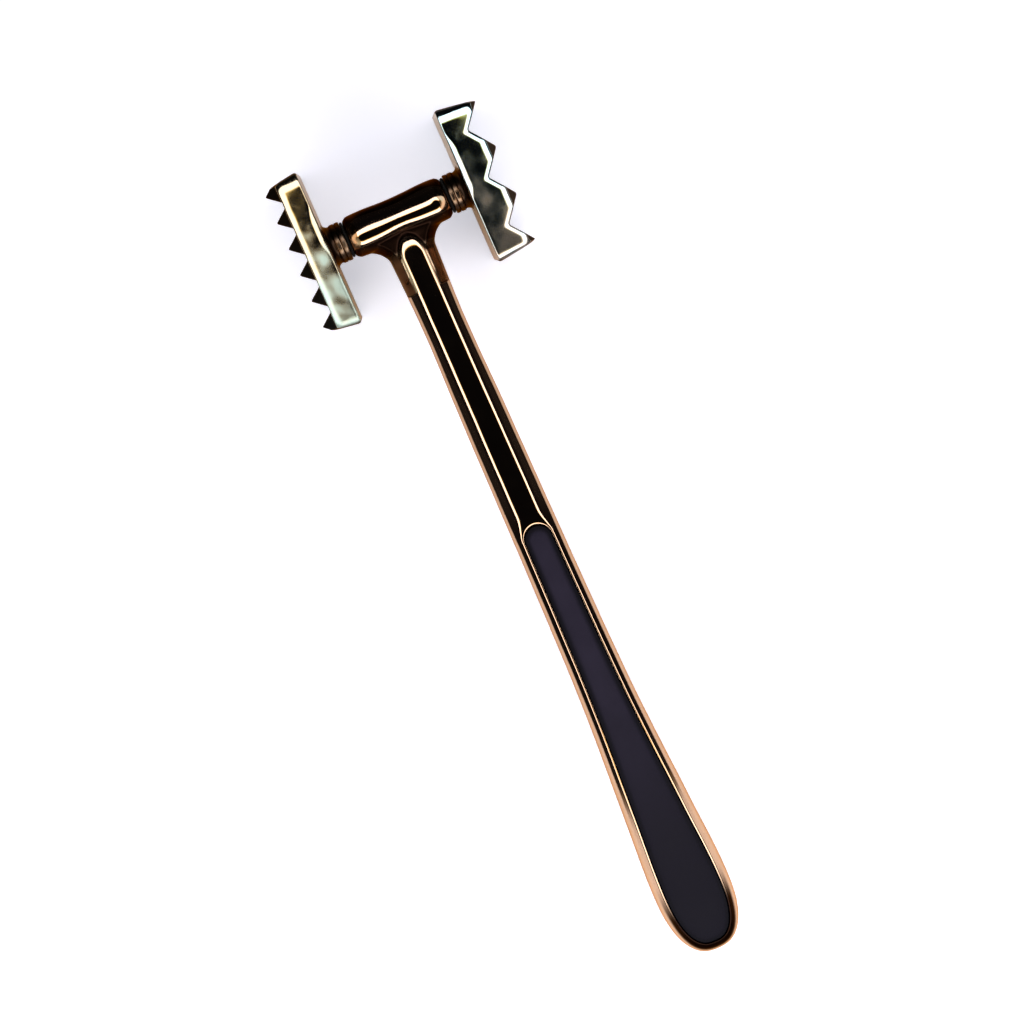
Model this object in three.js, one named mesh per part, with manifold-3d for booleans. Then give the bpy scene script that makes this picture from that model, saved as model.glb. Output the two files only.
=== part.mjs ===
// Two-faced meat tenderizer lying on its side, in millimetres.
// A cast T-shaped handle carries a fine plate and a coarse plate, one at each end of its crossbar.
// Own axes of the tool: X along the crossbar, -Y down the handle, Z square to both.
import * as THREE from 'three';
import { mergeVertices } from 'three/addons/utils/BufferGeometryUtils.js';
import { ParametricGeometry } from 'three/addons/geometries/ParametricGeometry.js';
import Module from 'manifold-3d';

// Running gap kept between pieces that seat on or pass through each other
const fitGap = 0.3;

// Crossbar: a round bar, slightly waisted, with rounded ends
const barrelHalfLength = 15.9;
const barrelWaistRadius = 6.15;
const barrelEndRadius = 6.6;
const barrelEndFaceRadius = 5.5;
const barrelEndRounding = 1.6;

// Handle: distances are measured from the crossbar's axis, each with the half width there
const shankStart = -2.5;
const shankRootHalfWidth = 7.5;
const shankWaistAt = 34;
const shankWaistHalfWidth = 6.6;
const shankMiddleAt = 63;
const shankMiddleHalfWidth = 7.05;
const gripNeckAt = 120;
const gripNeckHalfWidth = 7.6;
const gripFlareAt = 158;
const gripFlareHalfWidth = 8.4;
const gripSwellAt = 195;
const gripSwellHalfWidth = 10.5;
const palmAt = 220;
const palmHalfWidth = 11.8;
const handleEnd = 241.3;
const handleEndSquareness = 2.45;

// Handle thickness, and the rounded nose where the shank rises beside the crossbar
const shankHalfThickness = 5.6;
const palmHalfThickness = 7.2;
const thickeningStart = 80;
const thickeningEnd = 215;
const noseRadius = 9;
const noseEnd = 10.8;
const noseDropLimit = 3;

// Handle section: flat land, shoulder arc, sloping flank, side arc, upright side at the parting line
const flankAngle = THREE.MathUtils.degToRad(43);
const shankLandHalfWidth = 2.0;
const shankShoulderRadius = 3.3;
const shankSideRadius = 3.5;
const gripRimWidth = 2.6;
const gripShoulderRadius = 1.6;
const gripSideRadius = 4.0;
const sectionChangeStart = 84;
const sectionChangeEnd = 104;

// Webs that round the inside corners between the shank and the crossbar
const filletRadius = 7.6;
const filletHalfThickness = 3.4;
const filletEdgeBevel = 1.4;
const filletOverlapAngle = 0.15;

// Grip inlays, one in each face of the handle
const padStart = 100.6;
const padRim = 2.45;
const recessDepth = 1.8;
const padEdgeSink = 0.15;
const padCrown = 0.7;
const padCrownRise = 0.45;
const padCrownShoulder = 2.4;
const padPegRadius = 1.6;
const padPegLength = 1.4;
const padPegStations = [122, 166, 210];

// Neck stack from the crossbar's end outwards: seal groove, lock ring, plate collar, flare
const sealGroove = 1.0;
const sealSeatDepth = 1.2;
const lockRingWidth = 1.2;
const neckRadius = 6.1;
const neckEdge = 0.35;
const collarWidth = 1.6;
const flareLength = 2.0;
const flareRise = 1.9;

// Threaded stud that holds each plate, and its depth in the crossbar and in the plate
const studRadius = 2.5;
const studChamfer = 0.6;
const studInBarrel = 10;
const studInPlate = 4.6;

// Toothed plates: size of the back face, thickness down to the valleys, draft of the four edges
const plateLength = 47.9;
const plateHeight = 54;
const plateThickness = 7.1;
const plateDraft = THREE.MathUtils.degToRad(8);
const plateBackEdgeRadius = 1.8;
const plateCornerRadius = 3.5;
const fineTeeth = { rows: 6, pitch: 8.24, height: 3.9, valley: 1.8, tip: 0.3 };
const coarseTeeth = { rows: 4, pitch: 14.87, height: 5.5, valley: 0.5, tip: 0.5 };

// Places that follow from the sizes above
const studBoreRadius = studRadius + fitGap;
const lockRingInner = barrelHalfLength + sealGroove;
const lockRingOuter = lockRingInner + lockRingWidth;
const collarFace = lockRingOuter + fitGap;
const plateBack = collarFace + collarWidth + flareLength;
const studInnerEnd = barrelHalfLength - studInBarrel;
const studOuterEnd = plateBack + studInPlate;
const sealSectionRadius = (sealGroove + sealSeatDepth) / 2 - fitGap;
const sealMiddleRadius = studBoreRadius + sealSectionRadius;
const sealSeatRadius = sealMiddleRadius + sealSectionRadius + fitGap;

// How finely round shapes are divided
const turnedSteps = 36;
const arcSteps = 4;
const settlingSteps = 20;
const tangentStep = 0.01;
const endMargin = 0.02;
const outlineSteps = { start: 5, side: 26, end: 9 };
const barrelSteps = 6;
const overlap = 1;
const mergeDistance = 1e-4;

const finishes = {
  metal: { color: 0x1d1714, roughness: 0.12, metalness: 1 },
  steel: { color: 0x8d8f92, roughness: 0.35, metalness: 1 },
  rubber: { color: 0x26242e, roughness: 0.8, metalness: 0 },
};

const wasm = await Module();
wasm.setup();

// Closed mesh to solid: shared vertices are merged and collapsed triangles left out
function toSolid(geometry) {
  const bare = geometry.clone();
  bare.deleteAttribute('normal');
  bare.deleteAttribute('uv');
  const merged = mergeVertices(bare, mergeDistance);
  const corners = merged.index.array;
  const kept = [];
  for (let i = 0; i < corners.length; i += 3) {
    const [a, b, c] = [corners[i], corners[i + 1], corners[i + 2]];
    if (a !== b && b !== c && c !== a) kept.push(a, b, c);
  }
  const vertProperties = Float32Array.from(merged.attributes.position.array);
  return new wasm.Manifold(new wasm.Mesh({ numProp: 3, vertProperties, triVerts: Uint32Array.from(kept) }));
}

function toGeometry(solid) {
  const mesh = solid.getMesh();
  const geometry = new THREE.BufferGeometry();
  geometry.setAttribute('position', new THREE.Float32BufferAttribute(mesh.vertProperties, 3));
  geometry.setIndex(Array.from(mesh.triVerts));
  geometry.computeVertexNormals();
  return geometry;
}

// Smooth curve through [distance, value] stations, level at both ends (cubic Hermite)
function throughStations(stations, distance) {
  const last = stations.length - 1;
  const at = THREE.MathUtils.clamp(distance, stations[0][0], stations[last][0]);
  const i = Math.max(stations.findIndex(([d]) => d >= at), 1);
  const slope = (k) => {
    if (k === 0 || k === last) return 0;
    return (stations[k + 1][1] - stations[k - 1][1]) / (stations[k + 1][0] - stations[k - 1][0]);
  };
  const [d0, w0] = stations[i - 1];
  const [d1, w1] = stations[i];
  const span = d1 - d0;
  const t = (at - d0) / span;
  const rise = t * t * (3 - 2 * t);
  return w0 + (w1 - w0) * rise + span * t * (1 - t) * ((1 - t) * slope(i - 1) - t * slope(i));
}

// Half width of the handle at a distance from the crossbar; past the palm it is a superellipse
const widthStations = [
  [0, shankRootHalfWidth],
  [shankWaistAt, shankWaistHalfWidth],
  [shankMiddleAt, shankMiddleHalfWidth],
  [gripNeckAt, gripNeckHalfWidth],
  [gripFlareAt, gripFlareHalfWidth],
  [gripSwellAt, gripSwellHalfWidth],
  [palmAt, palmHalfWidth],
];

function sidePoint(distance) {
  return new THREE.Vector2(throughStations(widthStations, distance), distance);
}

function endPoint(angle) {
  const power = 2 / handleEndSquareness;
  const across = Math.max(Math.cos(angle), 0) ** power;
  const along = Math.sin(angle) ** power;
  return new THREE.Vector2(palmHalfWidth * across, palmAt + (handleEnd - palmAt) * along);
}

// Half thickness of the handle before and after the nose is taken off
function fullHalfThickness(distance) {
  const share = THREE.MathUtils.smoothstep(distance, thickeningStart, thickeningEnd);
  return shankHalfThickness + (palmHalfThickness - shankHalfThickness) * share;
}

function halfThickness(distance) {
  const back = THREE.MathUtils.clamp(noseEnd - distance, 0, noseRadius);
  const drop = Math.min(noseRadius - Math.sqrt(noseRadius ** 2 - back ** 2), noseDropLimit);
  return fullHalfThickness(distance) - drop;
}

// Rim of the handle's section, from the edge of the land out to the parting line: [inset, height]
function rimSection(halfWidth, distance) {
  const grip = THREE.MathUtils.smoothstep(distance, sectionChangeStart, sectionChangeEnd);
  const between = (shank, rim) => shank + (rim - shank) * grip;
  const landInset = between(halfWidth - shankLandHalfWidth, gripRimWidth);
  const shoulder = between(shankShoulderRadius, gripShoulderRadius);
  const side = between(shankSideRadius, gripSideRadius);
  const top = fullHalfThickness(distance);
  const shoulderEnd = landInset - shoulder * Math.sin(flankAngle);
  const shoulderDrop = shoulder * (1 - Math.cos(flankAngle));
  const flankDrop = (shoulderEnd - side * (1 - Math.sin(flankAngle))) * Math.tan(flankAngle);
  const sideTop = top - shoulderDrop - flankDrop - side * Math.cos(flankAngle);
  const rows = [];
  for (let i = 0; i <= arcSteps; i++) {
    const turn = (flankAngle * i) / arcSteps;
    rows.push([landInset - shoulder * Math.sin(turn), top - shoulder * (1 - Math.cos(turn))]);
  }
  for (let i = 0; i <= arcSteps; i++) {
    const turn = flankAngle + ((Math.PI / 2 - flankAngle) * i) / arcSteps;
    rows.push([side * (1 - Math.sin(turn)), sideTop + side * Math.cos(turn)]);
  }
  rows.push([0, 0]);
  const squeeze = halfThickness(distance) / top;
  return rows.map(([inset, height]) => [inset, height * squeeze]);
}

// Right half of an outline inset from the handle's edge, from its rounded start to the handle's end.
// Each station keeps its place, its inward normal, and the distance that its section is taken at.
function insetOutline(start, inset) {
  let centre = start;
  for (let i = 0; i < settlingSteps; i++) centre = start + sidePoint(centre).x - inset;
  const radius = sidePoint(centre).x - inset;
  const stations = [];
  for (let i = 0; i < outlineSteps.start; i++) {
    const turn = (Math.PI / 2) * (i / outlineSteps.start);
    const normal = new THREE.Vector2(-Math.sin(turn), Math.cos(turn));
    const place = new THREE.Vector2(0, centre).addScaledVector(normal, -radius);
    stations.push({ place, normal, section: place.y });
  }
  const addCurvePoint = (curve, at, section = at) => {
    const tangent = curve(at + tangentStep).sub(curve(at - tangentStep)).normalize();
    const normal = new THREE.Vector2(-tangent.y, tangent.x);
    if (normal.x > 0) normal.negate();
    stations.push({ place: curve(at).addScaledVector(normal, inset), normal, section });
  };
  for (let i = 0; i < outlineSteps.side; i++) {
    const at = centre + ((palmAt - centre) * i) / outlineSteps.side;
    addCurvePoint(sidePoint, at);
  }
  for (let i = 0; i < outlineSteps.end; i++) {
    const share = i / (outlineSteps.end - 1);
    addCurvePoint(endPoint, THREE.MathUtils.lerp(endMargin, Math.PI / 2 - endMargin, share), palmAt);
  }
  const tip = new THREE.Vector2(0, handleEnd - inset);
  stations.push({ place: tip, normal: new THREE.Vector2(0, -1), section: palmAt });
  return stations;
}

// Closed cushion-shaped body over an outline: rows run from the middle of the top, over the rim,
// to the middle of the bottom, and the left half mirrors the right half. A row with no inset lies
// on the middle line.
function pillow(stations, rowsAt) {
  const rightRows = stations.map(rowsAt);
  const rowCount = rightRows[0].length;
  const count = stations.length - 1;
  const fanCentre = stations[count].place.y - stations[count - outlineSteps.end].place.x;
  const startCentre = stations[outlineSteps.start].place.y;
  const surface = (u, v, target) => {
    const around = Math.round(u * 2 * count);
    const left = around > count;
    const station = left ? 2 * count - around : around;
    const { place, normal } = stations[station];
    const [inset, height] = rightRows[station][Math.round(v * (rowCount - 1))];
    const middle = inset === null;
    const x = middle ? 0 : place.x + normal.x * inset;
    const y = middle ? THREE.MathUtils.clamp(place.y, startCentre, fanCentre) : place.y + normal.y * inset;
    target.set(left ? -x : x, -y, height);
  };
  return new ParametricGeometry(surface, 2 * count, rowCount - 1);
}

// Prism from an outline in X and Y, centred on the XY plane
function prism(shape, height) {
  const options = { depth: height, bevelEnabled: false, curveSegments: arcSteps };
  return new THREE.ExtrudeGeometry(shape, options).translate(0, 0, -height / 2);
}

// Body turned about the X axis from a profile of [radius, x]
function turned(profile) {
  const points = profile.map(([radius, x]) => new THREE.Vector2(radius, x));
  return new THREE.LatheGeometry(points, turnedSteps).rotateZ(-Math.PI / 2);
}

// Turned shapes are drawn on the +X side; half a turn about Z takes one to the other end
function placed(geometry, side) {
  return side > 0 ? geometry : geometry.rotateZ(Math.PI);
}

// The crossbar's sides bow in a little from its rounded ends to its middle
function crossbar() {
  const shoulder = barrelHalfLength - barrelEndRounding;
  const side = [];
  for (let i = 0; i <= barrelSteps; i++) {
    const share = i / barrelSteps;
    side.push([barrelWaistRadius + (barrelEndRadius - barrelWaistRadius) * share ** 2, shoulder * share]);
  }
  for (let i = 1; i <= barrelSteps; i++) {
    const turn = (Math.PI / 2) * (i / barrelSteps);
    const radius = barrelEndFaceRadius + (barrelEndRadius - barrelEndFaceRadius) * Math.cos(turn);
    side.push([radius, shoulder + barrelEndRounding * Math.sin(turn)]);
  }
  side.push([0, barrelHalfLength]);
  const mirrored = side.slice(1).reverse().map(([radius, x]) => [radius, -x]);
  return turned([...mirrored, ...side]);
}

// Flat webs with a concave round edge on both sides of the shank
function filletWebs() {
  const reach = shankRootHalfWidth + filletRadius;
  const foot = barrelWaistRadius + filletRadius;
  const run = foot + filletRadius / 2;
  const edgeRadius = filletRadius + filletEdgeBevel;
  const outline = new THREE.Shape();
  outline.moveTo(0, 0);
  outline.lineTo(reach - filletEdgeBevel, 0);
  outline.absarc(reach, -foot, edgeRadius, Math.PI / 2 + filletOverlapAngle, Math.PI, false);
  outline.lineTo(shankLandHalfWidth, -run);
  outline.lineTo(0, -run);
  const options = {
    depth: 2 * (filletHalfThickness - filletEdgeBevel),
    bevelThickness: filletEdgeBevel,
    bevelSize: filletEdgeBevel,
    bevelSegments: 2,
    curveSegments: 2 * arcSteps,
  };
  const web = new THREE.ExtrudeGeometry(outline, options);
  web.translate(0, 0, filletEdgeBevel - filletHalfThickness);
  return toSolid(web).add(toSolid(web.clone().rotateY(Math.PI)));
}

// Inlay or its recess: the heights of its bottom, edge, shoulder and middle are measured from the
// handle's face
function inlay(inset, bottomDrop, topRise, rise, crown) {
  return pillow(insetOutline(padStart + inset - padRim, inset), ({ section }) => {
    const level = fullHalfThickness(section);
    const top = level + topRise;
    return [
      [null, top + crown],
      [padCrownShoulder, top + rise],
      [0, top],
      [0, level - bottomDrop],
      [null, level - bottomDrop],
    ];
  });
}

function pegs(radius, from, to) {
  return padPegStations.map((distance) => {
    const level = fullHalfThickness(distance);
    const peg = new THREE.CylinderGeometry(radius, radius, to - from, turnedSteps / 2).rotateX(Math.PI / 2);
    return toSolid(peg.translate(0, -distance, level - (from + to) / 2));
  });
}

function handleCasting() {
  const bodyStations = insetOutline(shankStart, 0);
  const body = pillow(bodyStations, ({ section }) => {
    const rim = rimSection(sidePoint(section).x, section);
    const level = rim[0][1];
    const under = rim.slice(0, -1).reverse().map(([inset, height]) => [inset, -height]);
    return [[null, level], ...rim, ...under, [null, -level]];
  });
  let casting = toSolid(body).add(toSolid(crossbar())).add(filletWebs());
  for (const side of [-1, 1]) {
    const bore = turned([
      [0, studInnerEnd - fitGap],
      [studBoreRadius, studInnerEnd - fitGap],
      [studBoreRadius, barrelHalfLength - sealSeatDepth],
      [sealSeatRadius, barrelHalfLength - sealSeatDepth],
      [sealSeatRadius, barrelHalfLength + overlap],
      [0, barrelHalfLength + overlap],
    ]);
    casting = casting.subtract(toSolid(placed(bore, side)));
  }
  const recess = toSolid(inlay(padRim, recessDepth, overlap, 0, 0));
  const sockets = pegs(padPegRadius + fitGap, recessDepth - overlap, recessDepth + padPegLength + fitGap);
  for (const cutter of [recess, ...sockets]) {
    casting = casting.subtract(cutter).subtract(cutter.rotate([0, 180, 0]));
  }
  return toGeometry(casting);
}

function gripInlay(side) {
  const underside = recessDepth - fitGap;
  let pad = toSolid(inlay(padRim + fitGap, underside, -padEdgeSink, padCrownRise, padCrown));
  for (const peg of pegs(padPegRadius, underside - fitGap, underside + padPegLength)) pad = pad.add(peg);
  return toGeometry(side > 0 ? pad : pad.rotate([0, 180, 0]));
}

function stud() {
  return turned([
    [0, studInnerEnd],
    [studRadius - studChamfer, studInnerEnd],
    [studRadius, studInnerEnd + studChamfer],
    [studRadius, studOuterEnd - studChamfer],
    [studRadius - studChamfer, studOuterEnd],
    [0, studOuterEnd],
  ]);
}

function lockRing() {
  return turned([
    [studBoreRadius, lockRingInner],
    [neckRadius - neckEdge, lockRingInner],
    [neckRadius, lockRingInner + neckEdge],
    [neckRadius, lockRingOuter - neckEdge],
    [neckRadius - neckEdge, lockRingOuter],
    [studBoreRadius, lockRingOuter],
    [studBoreRadius, lockRingInner],
  ]);
}

function seal() {
  const middle = barrelHalfLength - sealSeatDepth + fitGap + sealSectionRadius;
  const profile = [];
  const steps = 2 * arcSteps;
  for (let i = 0; i <= steps; i++) {
    const turn = 2 * Math.PI * (i / steps);
    profile.push([
      sealMiddleRadius - sealSectionRadius * Math.cos(turn),
      middle - sealSectionRadius * Math.sin(turn),
    ]);
  }
  return turned(profile);
}

// Plate outline seen along an edge: back at zero, drafted sides, both back corners rounded
function draftedOutline(size) {
  const half = size / 2;
  const depth = plateThickness + 2 * coarseTeeth.height;
  const radius = plateBackEdgeRadius;
  const centre = half - radius * Math.tan(plateDraft) - radius / Math.cos(plateDraft);
  const front = half - depth * Math.tan(plateDraft);
  const shape = new THREE.Shape();
  shape.moveTo(depth, -front);
  shape.lineTo(depth, front);
  shape.absarc(radius, centre, radius, Math.PI / 2 - plateDraft, Math.PI, false);
  shape.absarc(radius, -centre, radius, Math.PI, 1.5 * Math.PI + plateDraft, false);
  return shape;
}

// Plate outline seen along the grooves: rows of teeth in front of a wide flat back
function toothedOutline({ rows, pitch, height, valley, tip }) {
  const half = Math.max(plateLength, plateHeight, rows * pitch) / 2 + overlap;
  const shape = new THREE.Shape();
  shape.moveTo(-overlap, -half);
  shape.lineTo(plateThickness, -half);
  for (let i = 0; i < rows; i++) {
    const middle = (i - (rows - 1) / 2) * pitch;
    shape.lineTo(plateThickness, middle - (pitch - valley) / 2);
    shape.lineTo(plateThickness + height, middle - tip / 2);
    shape.lineTo(plateThickness + height, middle + tip / 2);
    shape.lineTo(plateThickness, middle + (pitch - valley) / 2);
  }
  shape.lineTo(plateThickness, half);
  shape.lineTo(-overlap, half);
  return shape;
}

function roundedRectangle(width, height, radius) {
  const [w, h] = [width / 2 - radius, height / 2 - radius];
  const shape = new THREE.Shape();
  shape.moveTo(w, -h - radius);
  shape.absarc(w, -h, radius, -Math.PI / 2, 0, false);
  shape.absarc(w, h, radius, 0, Math.PI / 2, false);
  shape.absarc(-w, h, radius, Math.PI / 2, Math.PI, false);
  shape.absarc(-w, -h, radius, Math.PI, 1.5 * Math.PI, false);
  return shape;
}

function toothedPlate(teeth, side) {
  const tall = 2 * Math.max(plateLength, plateHeight);
  const acrossHandle = (shape) => prism(shape, tall);
  const alongHandle = (shape) => prism(shape, tall).rotateX(Math.PI / 2);
  const back = roundedRectangle(plateHeight, plateLength, plateCornerRadius);
  const block = toSolid(acrossHandle(toothedOutline(teeth)))
    .intersect(toSolid(alongHandle(toothedOutline(teeth))))
    .intersect(toSolid(acrossHandle(draftedOutline(plateLength))))
    .intersect(toSolid(alongHandle(draftedOutline(plateHeight))))
    .intersect(toSolid(prism(back, tall).rotateY(Math.PI / 2)));
  const flare = [];
  for (let i = 0; i <= arcSteps; i++) {
    const turn = (Math.PI / 2) * (i / arcSteps);
    const radius = neckRadius - neckEdge + flareRise * (1 - Math.cos(turn));
    flare.push([radius, plateBack - flareLength * (1 - Math.sin(turn))]);
  }
  const neck = turned([
    [0, collarFace],
    [neckRadius - neckEdge, collarFace],
    [neckRadius, collarFace + neckEdge],
    [neckRadius, collarFace + collarWidth - neckEdge],
    ...flare,
    [neckRadius - neckEdge + flareRise, plateBack + overlap],
    [0, plateBack + overlap],
  ]);
  const bore = turned([
    [0, collarFace - overlap],
    [studBoreRadius, collarFace - overlap],
    [studBoreRadius, studOuterEnd + fitGap],
    [0, studOuterEnd + fitGap],
  ]);
  const plate = block.translate([plateBack, 0, 0]).add(toSolid(neck)).subtract(toSolid(bore));
  return placed(toGeometry(plate), side);
}

const tool = new THREE.Group();

function add(name, geometry, finish) {
  const mesh = new THREE.Mesh(geometry, new THREE.MeshStandardMaterial(finishes[finish]));
  mesh.name = name;
  tool.add(mesh);
}

add('handle_casting', handleCasting(), 'metal');
add('front_grip', gripInlay(1), 'rubber');
add('back_grip', gripInlay(-1), 'rubber');
for (const [name, side, teeth] of [['fine', -1, fineTeeth], ['coarse', 1, coarseTeeth]]) {
  add(`${name}_plate`, toothedPlate(teeth, side), 'metal');
  add(`${name}_stud`, placed(stud(), side), 'steel');
  add(`${name}_lock_ring`, placed(lockRing(), side), 'metal');
  add(`${name}_seal`, placed(seal(), side), 'rubber');
}

// The tool lies on its side, on the handle-side edges of the plates and on the handle's end.
// The tilt is the one at which the head and the handle reach equally low.
const steepestTilt = THREE.MathUtils.degToRad(30);
const tiltSearchSteps = 50;

function lowest(meshes, tilt) {
  const point = new THREE.Vector3();
  let low = Infinity;
  for (const { geometry } of meshes) {
    const places = geometry.attributes.position;
    for (let i = 0; i < places.count; i++) {
      point.fromBufferAttribute(places, i);
      low = Math.min(low, point.y * Math.sin(tilt) + point.z * Math.cos(tilt));
    }
  }
  return low;
}

const headMeshes = tool.children.filter(({ name }) => name.endsWith('_plate'));
const handleMeshes = tool.children.filter(({ name }) => name.startsWith('handle'));
let level = 0;
let steep = steepestTilt;
for (let i = 0; i < tiltSearchSteps; i++) {
  const middle = (level + steep) / 2;
  if (lowest(headMeshes, middle) < lowest(handleMeshes, middle)) level = middle;
  else steep = middle;
}
tool.rotation.x = level;

// The origin is the middle of the underside of the whole tool's box
const tenderizer = new THREE.Group();
tenderizer.add(tool);
tenderizer.updateMatrixWorld(true);
const box = new THREE.Box3().setFromObject(tenderizer, true);
tool.position.set(-(box.min.x + box.max.x) / 2, -(box.min.y + box.max.y) / 2, -box.min.z);
tenderizer.updateMatrixWorld(true);

export default tenderizer;
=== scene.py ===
"""Two-faced meat tenderizer in dark plated metal, lying on its side on a white table."""
import math

import bmesh
import bpy
import numpy as np
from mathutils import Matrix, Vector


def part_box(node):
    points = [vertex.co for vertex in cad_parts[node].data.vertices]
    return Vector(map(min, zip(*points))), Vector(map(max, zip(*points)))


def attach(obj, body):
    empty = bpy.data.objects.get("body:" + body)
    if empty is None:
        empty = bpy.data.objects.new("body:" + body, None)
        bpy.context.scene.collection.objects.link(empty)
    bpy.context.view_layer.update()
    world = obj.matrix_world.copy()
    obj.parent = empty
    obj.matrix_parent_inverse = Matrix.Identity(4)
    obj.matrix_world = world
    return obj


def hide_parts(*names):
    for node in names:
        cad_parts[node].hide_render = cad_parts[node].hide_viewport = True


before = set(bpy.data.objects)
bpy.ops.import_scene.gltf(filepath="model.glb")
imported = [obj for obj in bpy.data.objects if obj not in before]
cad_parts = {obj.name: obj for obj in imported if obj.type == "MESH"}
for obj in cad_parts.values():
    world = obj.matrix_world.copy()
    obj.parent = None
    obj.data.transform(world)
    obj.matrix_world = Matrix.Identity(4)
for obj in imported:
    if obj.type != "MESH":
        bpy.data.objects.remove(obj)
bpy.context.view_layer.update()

# Where the tool lies
# The tool's own frame, in millimetres: X along the crossbar, -Y down the handle, Z square to both
# faces. It lies tilted, on the plates' handle-side edges and the handle's end. The lock rings are
# round about the crossbar, and the two grips mirror each other across the middle plane.
MM = 0.001


def node_points(name):
    """Corners of a CAD node, one row each, in metres."""
    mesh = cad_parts[name].data
    points = np.empty(len(mesh.vertices) * 3, np.float32)
    mesh.vertices.foreach_get("co", points)
    return points.reshape(-1, 3)


across_grips = node_points("front_grip").mean(0) - node_points("back_grip").mean(0)
TILT = math.atan2(-across_grips[1], across_grips[2])
fine_ring_low, fine_ring_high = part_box("fine_lock_ring")
coarse_ring_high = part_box("coarse_lock_ring")[1]
HEAD_X = (fine_ring_low.x + coarse_ring_high.x) / 2
HEAD_Y = (fine_ring_low.y + fine_ring_high.y) / 2
HEAD_Z = (fine_ring_low.z + fine_ring_high.z) / 2


def to_row(points):
    """Tool frame to row frame: millimetres to metres, a turn by the tilt about X, then the head's place."""
    x, y, z = np.moveaxis(np.asarray(points, float) * MM, -1, 0)
    c, s = math.cos(TILT), math.sin(TILT)
    return np.stack([HEAD_X + x, HEAD_Y + c * y - s * z, HEAD_Z + s * y + c * z], axis=-1)


# Camera
# Straight above the table, turned so that the handle runs down and to the right. Its lens gives the
# picture's scale at the level of the tool's upper side.
camera_height = 1.05
camera_x = HEAD_X - 0.0041
camera_y = HEAD_Y - 0.0942
camera_roll = math.radians(23.75)
picture_side = 1024
pixels_per_mm = 3.3
level_of_that_scale = 0.013

camera_data = bpy.data.cameras.new("camera")
camera_data.sensor_width = 36
focal_pixels = pixels_per_mm / MM * (camera_height - level_of_that_scale)
camera_data.lens = camera_data.sensor_width * focal_pixels / picture_side
camera_data.clip_end = 20
camera = bpy.data.objects.new("camera", camera_data)
camera.location = (camera_x, camera_y, camera_height)
camera.rotation_euler = (0, 0, -camera_roll)
bpy.context.scene.collection.objects.link(camera)
bpy.context.scene.camera = camera

# Table and light
# A white table, and one frame-shaped lamp that hangs level above the tool's middle, with its
# opening round the camera's line of sight. Everything else is dark, so the polished metal shows
# the lamp as thin bright loops and the table as a pale rim.
table_size = 8.0
table_colour = (0.82, 0.80, 0.87)
table_glow = 0.50
glow_seen = (0.84, 0.88, 1.0)
glow_mirrored = (0.38, 0.28, 0.15)

# Half sizes of the lamp: its opening to the left, right, far and near side, then the whole frame
# sideways, to the far and to the near side
lamp_level = 0.225
lamp_inner = (0.094, 0.107, 0.101, 0.112)
lamp_outer = (0.225, 0.170, 0.420)
lamp_squareness = 4.0
lamp_fringe = (0.07, 0.17)
lamp_fringe_colour = (0.60, 0.43, 0.10)
lamp_strength = 4.2
lamp_steps = 96

# Colours of the dark room by height, from the horizon up
sky_stops = ((0.0, (0.034, 0.030, 0.030)), (0.22, (0.013, 0.012, 0.013)), (0.75, (0.004, 0.004, 0.005)))


def node_material(name):
    """A material with a Principled shader wired to its output: the material, its tree and the shader."""
    material = bpy.data.materials.new(name)
    material.use_nodes = True
    return material, material.node_tree, material.node_tree.nodes["Principled BSDF"]


def add_node(tree, kind, inputs=None, **settings):
    """A new shader node, given first its own settings and then values for its inputs."""
    made = tree.nodes.new("ShaderNode" + kind)
    for setting, value in settings.items():
        setattr(made, setting, value)
    for socket, value in (inputs or {}).items():
        made.inputs[socket].default_value = value
    return made


def add_ramp(tree, *stops):
    """A colour ramp through stops, each given as a position and a colour, from low to high."""
    made = add_node(tree, "ValToRGB")
    elements = made.color_ramp.elements
    elements[0].position = stops[0][0]
    elements[1].position = stops[-1][0]
    for position, colour in stops[1:-1]:
        elements.new(position)
    for element, (position, colour) in zip(elements, stops):
        element.color = (*colour, 1)
    return made


def link(tree, *pairs):
    """Links in a node tree, each from a node's output to the node's input that it feeds."""
    for source, output, node, socket in pairs:
        tree.links.new(source.outputs[output], node.inputs[socket])


def mesh_object(name, points, faces, material):
    """A smooth mesh object at the origin, from corners in metres and faces of corner numbers."""
    mesh = bpy.data.meshes.new(name)
    mesh.from_pydata(points.tolist(), [], faces.tolist())
    mesh.polygons.foreach_set("use_smooth", np.ones(len(mesh.polygons), bool))
    mesh.materials.append(material)
    made = bpy.data.objects.new(name, mesh)
    bpy.context.scene.collection.objects.link(made)
    return made


def grid_faces(rows, columns):
    """Quads between the neighbours of a grid of points numbered row by row."""
    corner = np.arange(rows * columns).reshape(rows, columns)
    return np.stack([corner[:-1, :-1], corner[1:, :-1], corner[1:, 1:], corner[:-1, 1:]], -1).reshape(-1, 4)


def mixed(start, end, share):
    """A value that goes from start to end as share goes from 0 to 1."""
    return start + (end - start) * share


def squarish(value):
    """A sine or cosine for a superellipse: its size is raised to two over the squareness."""
    return np.sign(value) * np.abs(value) ** (2 / lamp_squareness)


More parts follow.
